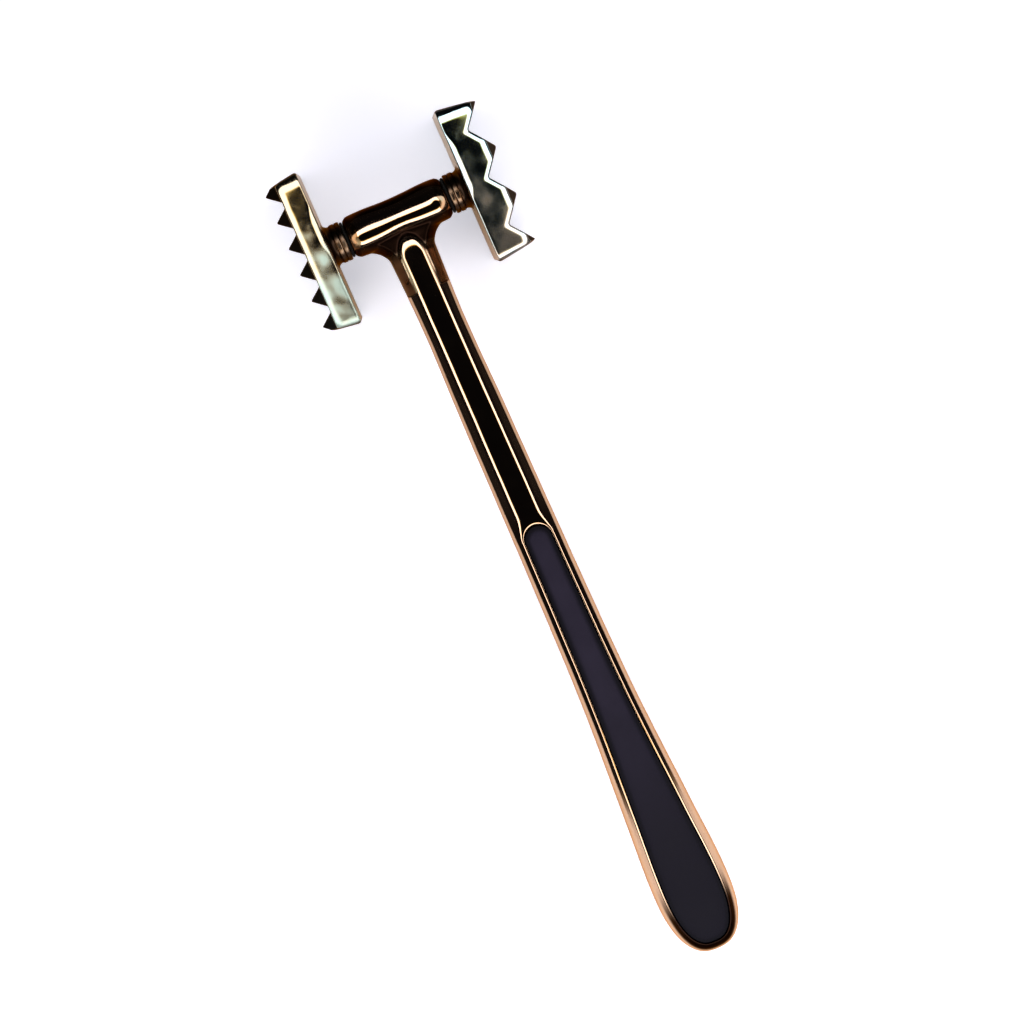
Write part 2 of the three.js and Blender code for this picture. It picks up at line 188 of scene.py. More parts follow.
table_material, table_tree, table_shader = node_material("white_table")
table_shader.inputs["Base Color"].default_value = (*table_colour, 1)
table_shader.inputs["Roughness"].default_value = 0.9
table_shader.inputs["Specular IOR Level"].default_value = 0.0
seen = add_node(table_tree, "LightPath")
by_camera_or_gloss = add_node(table_tree, "Math", operation="MAXIMUM")
by_any = add_node(table_tree, "Math", operation="MAXIMUM")
glow = add_node(table_tree, "Math", {1: table_glow}, operation="MULTIPLY")
glow_tint = add_node(table_tree, "Mix", {"A": (*glow_mirrored, 1), "B": (*glow_seen, 1)}, data_type="RGBA")
link(table_tree,
     (seen, "Is Camera Ray", by_camera_or_gloss, 0),
     (seen, "Is Glossy Ray", by_camera_or_gloss, 1),
     (by_camera_or_gloss, 0, by_any, 0),
     (seen, "Is Transmission Ray", by_any, 1),
     (by_any, 0, glow, 0),
     (glow, 0, table_shader, "Emission Strength"),
     (seen, "Is Camera Ray", glow_tint, "Factor"),
     (glow_tint, "Result", table_shader, "Emission Color"))

table_corners = np.array([[-1, -1, 0], [1, -1, 0], [1, 1, 0], [-1, 1, 0]]) * table_size / 2
table = mesh_object("table", table_corners, np.array([[0, 1, 2, 3]]), table_material)

lamp_material = bpy.data.materials.new("lamp")
lamp_material.use_nodes = True
lamp_tree = lamp_material.node_tree
lamp_tree.nodes.clear()
lamp_out = add_node(lamp_tree, "OutputMaterial")
lamp_glow = add_node(lamp_tree, "Emission", {"Strength": lamp_strength})
lamp_across = add_node(lamp_tree, "Attribute", attribute_name="across")
lamp_ramp = add_ramp(lamp_tree, (0.0, (0.0, 0.0, 0.0)), (lamp_fringe[0], lamp_fringe_colour),
                     (lamp_fringe[1], (1.0, 1.0, 1.0)))
link(lamp_tree,
     (lamp_across, "Fac", lamp_ramp, "Fac"),
     (lamp_ramp, "Color", lamp_glow, "Color"),
     (lamp_glow, 0, lamp_out, "Surface"))

# The lamp's sheet: superellipses from its opening, at share 0, to its outer edge, at share 1
lamp_turn = np.linspace(0, 2 * np.pi, lamp_steps + 1)[:, None]
lamp_share = np.array([0.0, *lamp_fringe, 1.0])[None, :]
lamp_cos = squarish(np.cos(lamp_turn))
lamp_sin = squarish(np.sin(lamp_turn))
lamp_inner_x = np.where(lamp_cos < 0, lamp_inner[0], lamp_inner[1])
lamp_half_x = mixed(lamp_inner_x, lamp_outer[0], lamp_share)
lamp_far_y = mixed(lamp_inner[2], lamp_outer[1], lamp_share)
lamp_near_y = mixed(lamp_inner[3], lamp_outer[2], lamp_share)
lamp_y = np.where(lamp_sin > 0, lamp_far_y, lamp_near_y) * lamp_sin
lamp_points = np.stack([camera_x + lamp_half_x * lamp_cos, camera_y + lamp_y,
                        np.full_like(lamp_y, lamp_level)], -1).reshape(-1, 3)
lamp = mesh_object("lamp", lamp_points, grid_faces(lamp_steps + 1, lamp_share.size), lamp_material)
across = lamp.data.attributes.new("across", "FLOAT", "POINT")
across.data.foreach_set("value", np.broadcast_to(lamp_share, lamp_y.shape).reshape(-1))
lamp.visible_camera = False

world = bpy.data.worlds.new("dark_room")
bpy.context.scene.world = world
world.use_nodes = True
sky_place = add_node(world.node_tree, "TexCoord")
sky_height = add_node(world.node_tree, "SeparateXYZ")
sky_ramp = add_ramp(world.node_tree, *sky_stops)
link(world.node_tree,
     (sky_place, "Generated", sky_height, "Vector"),
     (sky_height, "Z", sky_ramp, "Fac"),
     (sky_ramp, "Color", world.node_tree.nodes["Background"], "Color"))
bpy.context.scene.view_settings.view_transform = "Standard"

# Handle casting
# One casting in dark plated metal: a round crossbar, a shank that rises out of it with a rounded
# nose, webs in the two inside corners, and a swelling grip with a recess in each face.
bar_half_length = 15.9
bar_waist_radius = 6.15
bar_end_radius = 6.6
bar_swell_end = 11.5
bar_skeleton_end = 14.4

# Shoulders that make the crossbar's middle a little fuller
bar_shoulder = 0.042
bar_shoulder_from = math.radians(38)
bar_shoulder_fade = (9.0, 13.0)

# Rounding of the crossbar's ends, which is less at the sides
end_round_from = 11.26
end_round_radius = 8.8
end_round_stop = 14.98
end_side_less = 0.7
end_side_turn = (0.8, 1.4)

seat_radius = 4.7
seat_chamfer = 0.1
seat_depth = 1.2
bore_radius = 2.8
bore_depth = 3.0

# Handle: half widths at distances down from the crossbar's axis, and half thicknesses
width_at = np.array([0.0, 34, 63, 120, 158, 195, 220])
half_widths = np.array([7.5, 6.6, 7.05, 7.6, 8.4, 10.5, 11.8])
palm_at = 220.0
handle_end = 241.3
handle_end_squareness = 2.45
shank_half_thickness = 5.6
palm_half_thickness = 7.2
thickening = (80.0, 215.0)

# Section of the handle: flat land, rounded shoulder, sloping flank and rounded side. The shoulder's
# radii are those of the shank, the grip, the palm and the tip, and the others leave out the tip
land_half_width = 2.0
grip_land_inset = 2.84
shoulder_radius = (3.4, 1.0, 0.6, 0.3)
side_radius = (3.4, 4.05, 5.5)
flank_angle = np.radians([43, 30, 48])
side_change = (88.0, 118.0)
palm_change = (130.0, 205.0)
land_opening = 0.14
land_change = ((40.0, 90.0), (96.5, 104.5))
edge_lean_change = (130.0, 200.0)
tip_change = (0.2, 1.3)

# Nose of the shank and webs
shank_start = 2.5
nose_radius = 15.0
nose_end = 10.75
nose_arch = 3.4
nose_least = 0.42
nose_land = (6.0, 12.5)
web_radius = 7.6
web_inner = 7.2
web_side_radius = 2.6
web_flank_level = 1.3
web_flank = math.radians(44)
web_cap = 4.3
web_recede = 0.24
web_bar_gap = 0.15
web_start = 1.0
web_tail = 0.2
web_tail_from = 12.6
blend_bar_shank = 0.2
blend_web = 0.3
shank_blend_fade = (20.0, 26.0)
bar_blend_fade = (11.0, 14.2)

recess_start = 100.6
recess_inset = 2.98
recess_depth = 1.8
lip_radius = (1.0, 0.1, 0.1)
lip_fade = 1.2
land_margin = 0.04

# Grid steps, and lengths that guide the rays which find the head's surface
head_end = 27.0
upright_steps, side_steps, flank_steps, shoulder_steps, land_steps = 2, 14, 8, 12, 8
bar_steps, head_steps, web_steps, corner_steps = 44, 60, 40, 11
round_steps, palm_steps, tip_steps, lip_steps, wall_steps = 25, 120, 44, 7, 4
shank_parts = (84.0, 60, 22)
ray_reach = 22.0
halvings = 40
bar_aim = 10.0
aim_turn_length = 3.0
web_aim_gap = 0.4


def smoothstep(value, low, high):
    """Smooth rise from 0 at low to 1 at high."""
    t = np.clip((value - low) / (high - low), 0, 1)
    return t * t * (3 - 2 * t)


def between(value, rise, fall):
    """Smooth hump: up over the first span and down over the second."""
    return smoothstep(value, *rise) * (1 - smoothstep(value, *fall))


def gauss(value, middle, reach):
    """Bell curve round a middle value."""
    return np.exp(-((value - middle) / reach) ** 2)


def handle_half_width(distance):
    """Smooth curve through the widths, level at both ends (cubic Hermite)."""
    slopes = np.zeros_like(half_widths)
    slopes[1:-1] = (half_widths[2:] - half_widths[:-2]) / (width_at[2:] - width_at[:-2])
    at = np.clip(distance, width_at[0], width_at[-1])
    i = np.clip(np.searchsorted(width_at, at), 1, len(width_at) - 1)
    span = width_at[i] - width_at[i - 1]
    t = (at - width_at[i - 1]) / span
    rise = t * t * (3 - 2 * t)
    bow = span * t * (1 - t) * ((1 - t) * slopes[i - 1] - t * slopes[i])
    return mixed(half_widths[i - 1], half_widths[i], rise) + bow


def handle_half_thickness(distance):
    """Half thickness of the handle: even along the shank, then growing to the palm."""
    return mixed(shank_half_thickness, palm_half_thickness, smoothstep(distance, *thickening))


def land_opened(distance):
    """Share of the way from the shank's land to the grip's: a little early, the rest at the recess."""
    return (land_opening * smoothstep(distance, *land_change[0])
            + (1 - land_opening) * smoothstep(distance, *land_change[1]))


def rim_rows(distance, half_width, grip, tip):
    """Section of the handle from its parting line up to the edge of its flat land, as insets and heights.

    An upright side, a side arc, a sloping flank and a shoulder arc, each tangent to the next. Grip is
    0 for the shank's land and 1 for the grip's narrow one, and tip grows to 1 at the handle's very end.
    """
    grip, tip, w, d = grip[:, None], tip[:, None], half_width[:, None], distance[:, None]
    lower, palm = smoothstep(d, *side_change), smoothstep(d, *palm_change) * (1 - tip)
    land = (w - land_half_width) * (1 - grip) + grip_land_inset * grip
    shoulder = mixed(shoulder_radius[0], shoulder_radius[1], grip)
    shoulder = mixed(mixed(shoulder, shoulder_radius[2], palm), shoulder_radius[3], tip)
    side = mixed(side_radius[0], side_radius[1], lower) + (side_radius[2] - side_radius[1]) * palm
    flank = mixed(flank_angle[0], flank_angle[1], lower) + (flank_angle[2] - flank_angle[1]) * palm
    top = handle_half_thickness(distance)[:, None]
    flank_run = land - shoulder * np.sin(flank) - side * (1 - np.sin(flank))
    side_level = top - shoulder * (1 - np.cos(flank)) - flank_run * np.tan(flank) - side * np.cos(flank)
    upright = np.linspace(0, 1, upright_steps, endpoint=False)[None, :]
    turn = np.pi / 2 - (np.pi / 2 - flank) * np.linspace(0, 1, side_steps, endpoint=False)[None, :]
    slope = np.linspace(0, 1, flank_steps, endpoint=False)[None, :]
    over = flank * (1 - np.linspace(0, 1, shoulder_steps + 1)[None, :])
    start_inset = side * (1 - np.sin(flank))
    start_level = side_level + side * np.cos(flank)
    insets = [0 * (upright + w), side * (1 - np.sin(turn)), start_inset + flank_run * slope,
              land - shoulder * np.sin(over)]
    levels = [side_level * upright, side_level + side * np.cos(turn),
              start_level + flank_run * np.tan(flank) * slope, top - shoulder * (1 - np.cos(over))]
    return np.concatenate(insets, 1), np.concatenate(levels, 1)


def rounded_corner(u, v, radius):
    """Signed distance to a corner at the origin, its edge rounded: negative where both are below."""
    u, v = u + radius, v + radius
    return np.hypot(np.maximum(u, 0), np.maximum(v, 0)) + np.minimum(np.maximum(u, v), 0) - radius


def to_segment(x, z, ax, az, bx, bz):
    """Distance from points to the straight line between two ends."""
    dx, dz = bx - ax, bz - az
    along = np.clip(((x - ax) * dx + (z - az) * dz) / np.maximum(dx * dx + dz * dz, 1e-9), 0, 1)
    return np.hypot(x - ax - along * dx, z - az - along * dz)


def soft_least(a, b, reach):
    """The lesser of two distances, with the crease between them filled over a reach."""
    reach = np.maximum(reach, 1e-6)
    h = np.maximum(reach - np.abs(a - b), 0) / reach
    return np.minimum(a, b) - h * h * reach / 4


def bar_end_drop(x):
    """How far the crossbar's surface has rounded down towards its end, along a wide arc."""
    past = np.clip(x - end_round_from, 0, end_round_stop - end_round_from)
    return end_round_radius - np.sqrt(end_round_radius ** 2 - past ** 2)


def bar_section(x, distance, z):
    """Radius of the crossbar: swelling to its rounded ends, with fuller shoulders in the middle."""
    turn = np.arctan2(np.abs(distance), z)
    fuller = np.sin(np.pi * np.clip((turn - bar_shoulder_from) / (np.pi / 2 - bar_shoulder_from), 0, 1)) ** 2
    fuller = fuller * bar_shoulder * (1 - smoothstep(x, *bar_shoulder_fade))
    swollen = mixed(bar_waist_radius, bar_end_radius, smoothstep(x, 0, bar_swell_end))
    return swollen * (1 + fuller) - bar_end_drop(x) * (1 - end_side_less * smoothstep(turn, *end_side_turn))


def head_distance(x, distance, z):
    """Signed distance to the head of the casting, negative inside: soft least of bar, shank and web.

    The shank's section is a rounded chain of three straight lines, squeezed down along its nose. The
    web is the corner outside a circle in the plan, its upper side sloping and cut off at its cap.
    """
    x, z = np.abs(x), np.abs(z)
    bar = np.maximum(np.hypot(distance, z) - bar_section(x, distance, z), x - bar_half_length)

    back = np.clip(nose_end + np.minimum(x, nose_arch) ** 2 / (2 * nose_arch) - distance, 0, nose_radius)
    drop = nose_radius - np.sqrt(nose_radius ** 2 - back ** 2)
    squeeze = np.maximum(1 - drop / shank_half_thickness, nose_least)
    level = z / squeeze
    radius = shoulder_radius[0]
    along_nose = np.clip((nose_land[1] - distance) / (nose_land[1] - nose_land[0]), 0, 1)
    land = land_half_width * np.sqrt(1 - along_nose ** 2)
    half = handle_half_width(np.maximum(distance, 0))
    side_x = half - radius
    top_z = shank_half_thickness - radius
    side_z = top_z - (half - land_half_width - radius) * math.tan(flank_angle[0])
    shank = np.minimum(to_segment(x, level, 0 * x, top_z + 0 * x, land, top_z + 0 * x),
                       to_segment(x, level, land, top_z + 0 * x, side_x, side_z))
    shank = np.minimum(shank, to_segment(x, level, side_x, side_z, side_x, 0 * x)) - radius
    shank = shank + np.maximum(shank_start - distance, 0)

    u = web_inner + web_radius - x
    v = bar_waist_radius + web_bar_gap + web_radius - distance
    edge = web_radius - np.hypot(np.maximum(u, 0), np.maximum(v, 0)) - np.minimum(v, 0) * web_recede
    edge = np.maximum(edge + web_tail * np.maximum(x - web_tail_from, 0) ** 2, web_start - distance)
    flank = (z - web_flank_level) * math.cos(web_flank) + edge * math.sin(web_flank)
    web = rounded_corner(edge, flank, web_side_radius)
    web = np.maximum(web, z - web_cap)

    blend = (1 - smoothstep(distance, *shank_blend_fade)) * (1 - smoothstep(x, *bar_blend_fade))
    solid = soft_least(bar, shank, blend_bar_shank * blend)
    return soft_least(solid, web, blend_web * blend)


def head_sheet(from_x, from_d, aim_x, aim_d, rise):
    """Front half of the head: rays from a skeleton in the middle plane, ended at the surface by halving."""
    run_x, run_d = aim_x - from_x, aim_d - from_d
    length = np.hypot(run_x, run_d)
    ray_x = (run_x / length)[:, None] * np.cos(rise)[None, :]
    ray_d = (run_d / length)[:, None] * np.cos(rise)[None, :]
    ray_z = np.broadcast_to(np.sin(rise)[None, :], ray_x.shape)
    low, high = np.zeros_like(ray_x), np.full_like(ray_x, ray_reach)
    for _ in range(halvings):
        middle = (low + high) / 2
        at_x, at_d = from_x[:, None] + middle * ray_x, from_d[:, None] + middle * ray_d
        inside = head_distance(at_x, at_d, middle * ray_z) < 0
        low, high = np.where(inside, middle, low), np.where(inside, high, middle)
    return np.stack([from_x[:, None] + low * ray_x, -from_d[:, None] - low * ray_d, low * ray_z], -1)


def mirrored(sheets, axis):
    """The sheets and their mirror images across one middle plane."""
    flip = np.ones(3)
    flip[axis] = -1
    return sheets + [sheet * flip for sheet in sheets]


def uneven(points, amount, wave, phase):
    """Points moved by a few long crossing waves, as a polished casting is never quite true."""
    x, y, z = np.moveaxis(points * (2 * np.pi / wave), -1, 0)
    push = [np.sin(0.9 * y + 0.5 * z + phase) + 0.5 * np.sin(1.9 * y - 1.3 * z + 2 * phase),
            np.sin(0.8 * x + 0.7 * z + 2.1 * phase) + 0.5 * np.sin(2.1 * x + 1.2 * z + phase),
            np.sin(0.7 * x + 0.9 * y + 1.7 * phase) + 0.5 * np.sin(1.6 * x - 2.0 * y + 3 * phase)]
    return points + np.asarray(amount)[..., None] * np.stack(push, -1)


def closed_piece(name, sheets, material, node, slot, **attribute_values):
    """One closed body from sheets of points in the tool's frame, joined where edges meet, faces outwards.

    Each keyword, such as painted shade and rubbed bronze, is one array for each sheet, kept as a point
    attribute that the material reads.
    """
    counts = np.cumsum([0] + [sheet.shape[0] * sheet.shape[1] for sheet in sheets])
    points = np.concatenate([sheet.reshape(-1, 3) for sheet in sheets])
    faces = np.concatenate([grid_faces(*sheet.shape[:2]) + start for sheet, start in zip(sheets, counts)])
    made = mesh_object(name, to_row(points), faces, material)
    for point_attribute, parts in attribute_values.items():
        kept = made.data.attributes.new(point_attribute, "FLOAT", "POINT")
        kept.data.foreach_set("value", np.concatenate([part.reshape(-1) for part in parts]))
    work = bmesh.new()
    work.from_mesh(made.data)
    bmesh.ops.remove_doubles(work, verts=work.verts, dist=2e-6)
    bmesh.ops.dissolve_degenerate(work, edges=work.edges, dist=1e-7)
    bmesh.ops.recalc_face_normals(work, faces=work.faces)
    work.to_mesh(made.data)
    work.free()
    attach(made, "root")
    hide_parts(node)
    return made


def turned_sheet(profile, turns):
    """A profile of [x, radius] points carried round the X axis through the given turns."""
    profile = np.asarray(profile, float)
    x, radius = profile[:, 0][:, None], profile[:, 1][:, None]
    return np.stack([x + 0 * turns[None, :], radius * np.cos(turns), radius * np.sin(turns)], -1)


def travelled(x, d):
    """Distance travelled along a path of points, from 0 at its start."""
    return np.concatenate([[0], np.cumsum(np.hypot(np.diff(x), np.diff(d)))])


# Head: the rays' rises are those of the shank's own section, so that the two sheets join
join_inset, join_level = rim_rows(np.array([head_end]), handle_half_width(np.array([head_end])), np.zeros(1),
                                  np.zeros(1))
join_x = handle_half_width(head_end) - join_inset[0]
land_share = np.linspace(0, 1, land_steps + 1)[1:]
rise = np.concatenate([np.arctan2(join_level[0], join_x),
                       np.arctan2(shank_half_thickness, join_x[-1] * (1 - land_share))])

bar_x = np.linspace(bar_skeleton_end, 0, bar_steps)
zero_x = np.zeros_like(bar_x)
top_sheet = head_sheet(bar_x, zero_x, bar_x, zero_x - bar_aim, rise)

shank_d = np.linspace(0, head_end, head_steps)[1:]
from_x = np.concatenate([bar_x, 0 * shank_d])
from_d = np.concatenate([zero_x, shank_d])
travel = travelled(from_x, from_d)
arc_turn = np.radians(np.linspace(0, 90, web_steps))
web_centre_x, web_centre_d = web_inner + web_radius, bar_waist_radius + web_bar_gap + web_radius
aim_path_x = np.concatenate([[bar_skeleton_end], web_centre_x - web_radius * np.sin(arc_turn) - web_aim_gap,
                             [join_x[0]]])
aim_path_d = np.concatenate([[bar_aim], web_centre_d - web_radius * np.cos(arc_turn), [head_end]])
aim_path_x = np.minimum(aim_path_x, bar_skeleton_end)
aim_travel = travelled(aim_path_x, aim_path_d)
share = travel / travel[-1]
aim_x = np.interp(share * aim_travel[-1], aim_travel, aim_path_x)
aim_d = np.interp(share * aim_travel[-1], aim_travel, aim_path_d)
first_turns = np.clip((bar_skeleton_end - bar_x) / aim_turn_length, 0, 1)
aim_x[: len(bar_x)] = bar_x + (aim_x[: len(bar_x)] - bar_x) * first_turns
aim_d[-1], aim_x[-1] = head_end, join_x[0]
lower_sheet = head_sheet(from_x, from_d, aim_x, aim_d, rise)

# Ends of the crossbar: rounding, face, seal seat and bore, turned about the X axis
seat_edge = seat_radius + seat_chamfer
seat_floor_x = bar_half_length - seat_depth
bore_floor_x = seat_floor_x - bore_depth
stop_radius = bar_end_radius - bar_end_drop(end_round_stop)
stop_lean = math.asin((end_round_stop - end_round_from) / end_round_radius)
corner_radius = stop_radius - (bar_half_length - end_round_stop) * math.tan(stop_lean)
soft_x = np.linspace(bar_skeleton_end, end_round_stop, 4)[:-1]
t = np.linspace(0, 1, corner_steps)
corner_x = (1 - t) ** 2 * end_round_stop + (1 - (1 - t) ** 2) * bar_half_length
corner_r = (1 - t) ** 2 * stop_radius + 2 * t * (1 - t) * corner_radius + t ** 2 * seat_edge
end_profile = np.concatenate([
    np.stack([soft_x, bar_end_radius - bar_end_drop(soft_x)], -1), np.stack([corner_x, corner_r], -1),
    [[bar_half_length - seat_chamfer, seat_radius], [seat_floor_x, seat_radius],
     [seat_floor_x, bore_radius], [bore_floor_x, bore_radius], [bore_floor_x, 0]]])
end_turns = np.concatenate([rise, np.pi - rise[-2::-1]])
end_sheet = turned_sheet(end_profile, end_turns)
joint_radius = bar_section(np.full_like(end_turns, bar_skeleton_end), np.cos(end_turns), np.sin(end_turns))
wider = (joint_radius - seat_edge) / (end_profile[0, 1] - seat_edge)
profile_radius = end_profile[:, 1][:, None]
spread = np.where(profile_radius > seat_edge, mixed(seat_edge, profile_radius, wider[None, :]),
                  profile_radius)
end_sheet[..., 1:] *= (spread / np.maximum(profile_radius, 1e-9))[..., None]

# Shank and grip: stations along the right-hand edge, each with a place and an inward direction
recess_centre = recess_start
for _ in range(20):
    recess_centre = recess_start + handle_half_width(recess_centre) - recess_inset
quarter = np.linspace(0, np.pi / 2, round_steps)
start_lip = mixed(lip_radius[1], lip_radius[0], np.cos(quarter) ** lip_fade)
start_radius = handle_half_width(recess_centre) - recess_inset + start_lip
round_d = recess_centre - start_radius * np.cos(quarter)
plain_d = np.concatenate([np.linspace(head_end, shank_parts[0], shank_parts[1], endpoint=False),
                          np.linspace(shank_parts[0], round_d[0], shank_parts[2])])
side_d = np.linspace(recess_centre, palm_at, palm_steps)[1:]
end_turn = np.linspace(0, np.pi / 2, tip_steps)[1:]


def edge_stations(distance):
    """Places on the handle's side edge, with inward directions that turn from level to square with it."""
    probe = 0.05
    place = np.stack([handle_half_width(distance), distance], -1)
    slope = (handle_half_width(distance + probe) - handle_half_width(distance - probe)) / (2 * probe)
    lean = slope * smoothstep(distance, *edge_lean_change)
    inward = np.stack([-np.ones_like(lean), lean], -1)
    return place, inward / np.linalg.norm(inward, axis=1)[:, None]


def end_stations(turn):
    """Places round the handle's end, a superellipse, with its inward normals."""
    power = 2 / handle_end_squareness
    a, b = half_widths[-1], handle_end - palm_at
    c, s = np.maximum(np.cos(turn), 0), np.sin(turn)
    place = np.stack([a * c ** power, palm_at + b * s ** power], -1)
    outward = np.stack([c ** (2 - power) / a, s ** (2 - power) / b], -1)
    return place, -outward / np.linalg.norm(outward, axis=1)[:, None]


def on_side(flat, level):
    """Points from places in the plan, given as x and distance, and a height for each."""
    return np.stack([flat[..., 0], -flat[..., 1], level], -1)


def rim_sheet(place, inward, distance, grip, tip):
    """Rows from the parting line to the edge of the land, drawn inwards from each station's place."""
    inset, level = rim_rows(distance, handle_half_width(distance), grip, tip)
    return on_side(place[:, None, :] + inward[:, None, :] * inset[..., None], level)


def across_land(rim, target):
    """Straight rows from the edge of the land to target places in the plan, at the land's own height."""
    t = np.linspace(0, 1, land_steps + 1)[None, 1:, None]
    start = rim[:, -1:, :2] * [1, -1]
    flat = mixed(start, target[:, None, :], t)
    return on_side(flat, handle_half_thickness(flat[..., 1]))


def middle_line(distance):
    """Places on the handle's middle line, between the centres of the recess's two round ends."""
    return np.stack([0 * distance, np.clip(distance, recess_centre, handle_end - half_widths[-1])], -1)


plain_place, plain_inward = edge_stations(plain_d)
plain_rim = rim_sheet(plain_place, plain_inward, plain_d, land_opened(plain_d), 0 * plain_d)
plain_sheet = np.concatenate([plain_rim, across_land(plain_rim, np.stack([0 * plain_d, plain_d], -1))], 1)

body_d = np.concatenate([round_d, side_d])
body_place, body_inward = edge_stations(body_d)
tip_place, tip_inward = end_stations(end_turn)
grip_place = np.concatenate([body_place, tip_place])
grip_inward = np.concatenate([body_inward, tip_inward])
grip_d = np.concatenate([body_d, np.full(len(end_turn), palm_at)])
round_room = handle_half_width(round_d) - grip_land_inset - land_half_width
round_grip = np.maximum(land_opened(round_d),
                        (start_radius * np.sin(quarter) + land_margin - land_half_width) / round_room)
grip_share = np.concatenate([np.minimum(round_grip, 1), np.ones(len(grip_d) - len(round_d))])
tip_share = np.concatenate([np.zeros(len(body_d)), smoothstep(end_turn, *tip_change)])
grip_rim = rim_sheet(grip_place, grip_inward, grip_d, grip_share, tip_share)


def recess_outline(inset):
    """The recess's outline at every station, an inset in from the handle's edge, and its inward direction.

    The first stations turn round the recess's start, and the rest follow the handle's edge.
    """
    inward = grip_inward.copy()
    inward[: len(round_d)] = np.stack([-np.sin(quarter), np.cos(quarter)], -1)
    inset = inset + 0 * grip_d
    place = grip_place + grip_inward * inset[:, None]
    radius = handle_half_width(recess_centre) - inset[: len(round_d), None]
    place[: len(round_d)] = np.array([0, recess_centre]) - radius * inward[: len(round_d)]
    place[-1, 0] = 0
    return place, inward


# Recess: a small round lip, an upright wall and a flat floor
lip = np.full(len(grip_d), lip_radius[1])
lip[: len(round_d)] = start_lip
lip = mixed(lip, lip_radius[2], tip_share)
lip_place, lip_inward = recess_outline(recess_inset - lip)
lip_turn = np.linspace(0, np.pi / 2, lip_steps)[1:]
lip_top = handle_half_thickness(lip_place[:, 1])
lip_in = lip[:, None] * np.concatenate([np.sin(lip_turn), np.ones(wall_steps)])[None, :]
lip_down = lip[:, None] * (1 - np.cos(lip_turn))[None, :]
wall_down = lip[:, None] + (recess_depth - lip[:, None]) * np.linspace(0, 1, wall_steps + 1)[None, 1:]
recess_wall = on_side(lip_place[:, None, :] + lip_inward[:, None, :] * lip_in[..., None],
                      lip_top[:, None] - np.concatenate([lip_down, wall_down], 1))
recess_floor = on_side(middle_line(lip_place[:, 1]), lip_top - recess_depth)[:, None, :]
grip_sheet = np.concatenate([grip_rim, across_land(grip_rim, lip_place), recess_wall, recess_floor], 1)

quarter_sheets = [top_sheet, lower_sheet, end_sheet, plain_sheet, grip_sheet]
cast_sheets = mirrored(mirrored(quarter_sheets, 0), 2)
# Painted shade on the recess's wall and floor, the grip sheet's last columns
recess_painted_shade = [np.zeros(sheet.shape[:2]) for sheet in quarter_sheets]
recess_painted_shade[-1][:, -wall_steps - 1:] = 1

# Unevenness of the casting: waves, a leaning crest on the crossbar, two dents, a low ledge beside the nose
wave_amount = (0.010, 0.022)
wave_length = 19.0
wave_phase = 0.7
wave_fade = (4.0, 16.0)
front_rise = (1.0, 4.0)
crest_lean, crest_reach = 0.11, 3.0
waist_dent, waist_place, waist_reach = 0.22, 1.5, 4.0
waist_span = ((1.2, 4.5), (5.5, 8.0))
small_dent, small_x, small_y, small_reach = 0.11, 12.0, -0.6, 0.9
ledge_height = 0.15
ledge_from_middle = (3.8, 4.25)
ledge_rise = (0.3, 2.5)
ledge_span = ((11.0, 12.5), (17.0, 21.5))

# Painted shade on the casting, under the crossbar's shoulders, beside the nose and round the tip, and the
# colours of its plating
bright_level = (2.8, 4.5)
bright_level_change = (0.0, 3.0)
shoulder_soft = 1.2
shoulder_fade = (4.0, 9.0)
hollow_span = ((3.5, 3.95), (9.0, 13.0))
hollow_half_width, hollow_end, hollow_length = 3.5, 11.0, 4.2
hollow_edge = (1.0, 1.1)
tip_painted_shade = (215.0, 228.0)
tip_painted_shade_below_top = (1.9, 0.9)

bronze = (0.50, 0.335, 0.225)
worn_bronze = (0.47, 0.315, 0.212)
# Colour and roughness of the painted shade on the plated parts: hollows, recess, teeth, plate ends, necks
# and rings
painted_shade_colour = (0.013, 0.006, 0.004)
dark_roughness = 0.30
grazing_tint = (0.80, 0.52, 0.32)
# Mottle of the plating: a random tone on the handle and rings, a painted reflection of a room on the plates
cloud_scale, cloud_detail, cloud_roughness = 160.0, 1.5, 0.6
mottle_and_reflection_span = (0.42, 0.72)
cloud_gloss_span = (0.35, 0.70)
ripple_scale, ripple_strength, ripple_depth = 420.0, 0.012, 0.0004
plate_half_length = 23.95


def cast_waves(sheet):
    """The casting's own unevenness, most at the crossbar, with the lean, the dents and the ledge."""
    near_head = 1 - smoothstep(-sheet[..., 1], *wave_fade)
    waved = uneven(sheet, wave_amount[0] + wave_amount[1] * near_head, wave_length, wave_phase)
    x, y, z = np.moveaxis(sheet, -1, 0)
    lowered = crest_lean * y * gauss(y, 0, crest_reach)
    lowered = lowered + waist_dent * gauss(x, waist_place, waist_reach) * between(-y, *waist_span)
    lowered = lowered + small_dent * gauss(x, small_x, small_reach) * gauss(y, small_y, small_reach)
    ledge = smoothstep(np.abs(x), *ledge_from_middle) * smoothstep(z, *ledge_rise) * between(-y, *ledge_span)
    waved[..., 2] += ledge_height * ledge - smoothstep(z, *front_rise) * near_head * lowered
    return waved


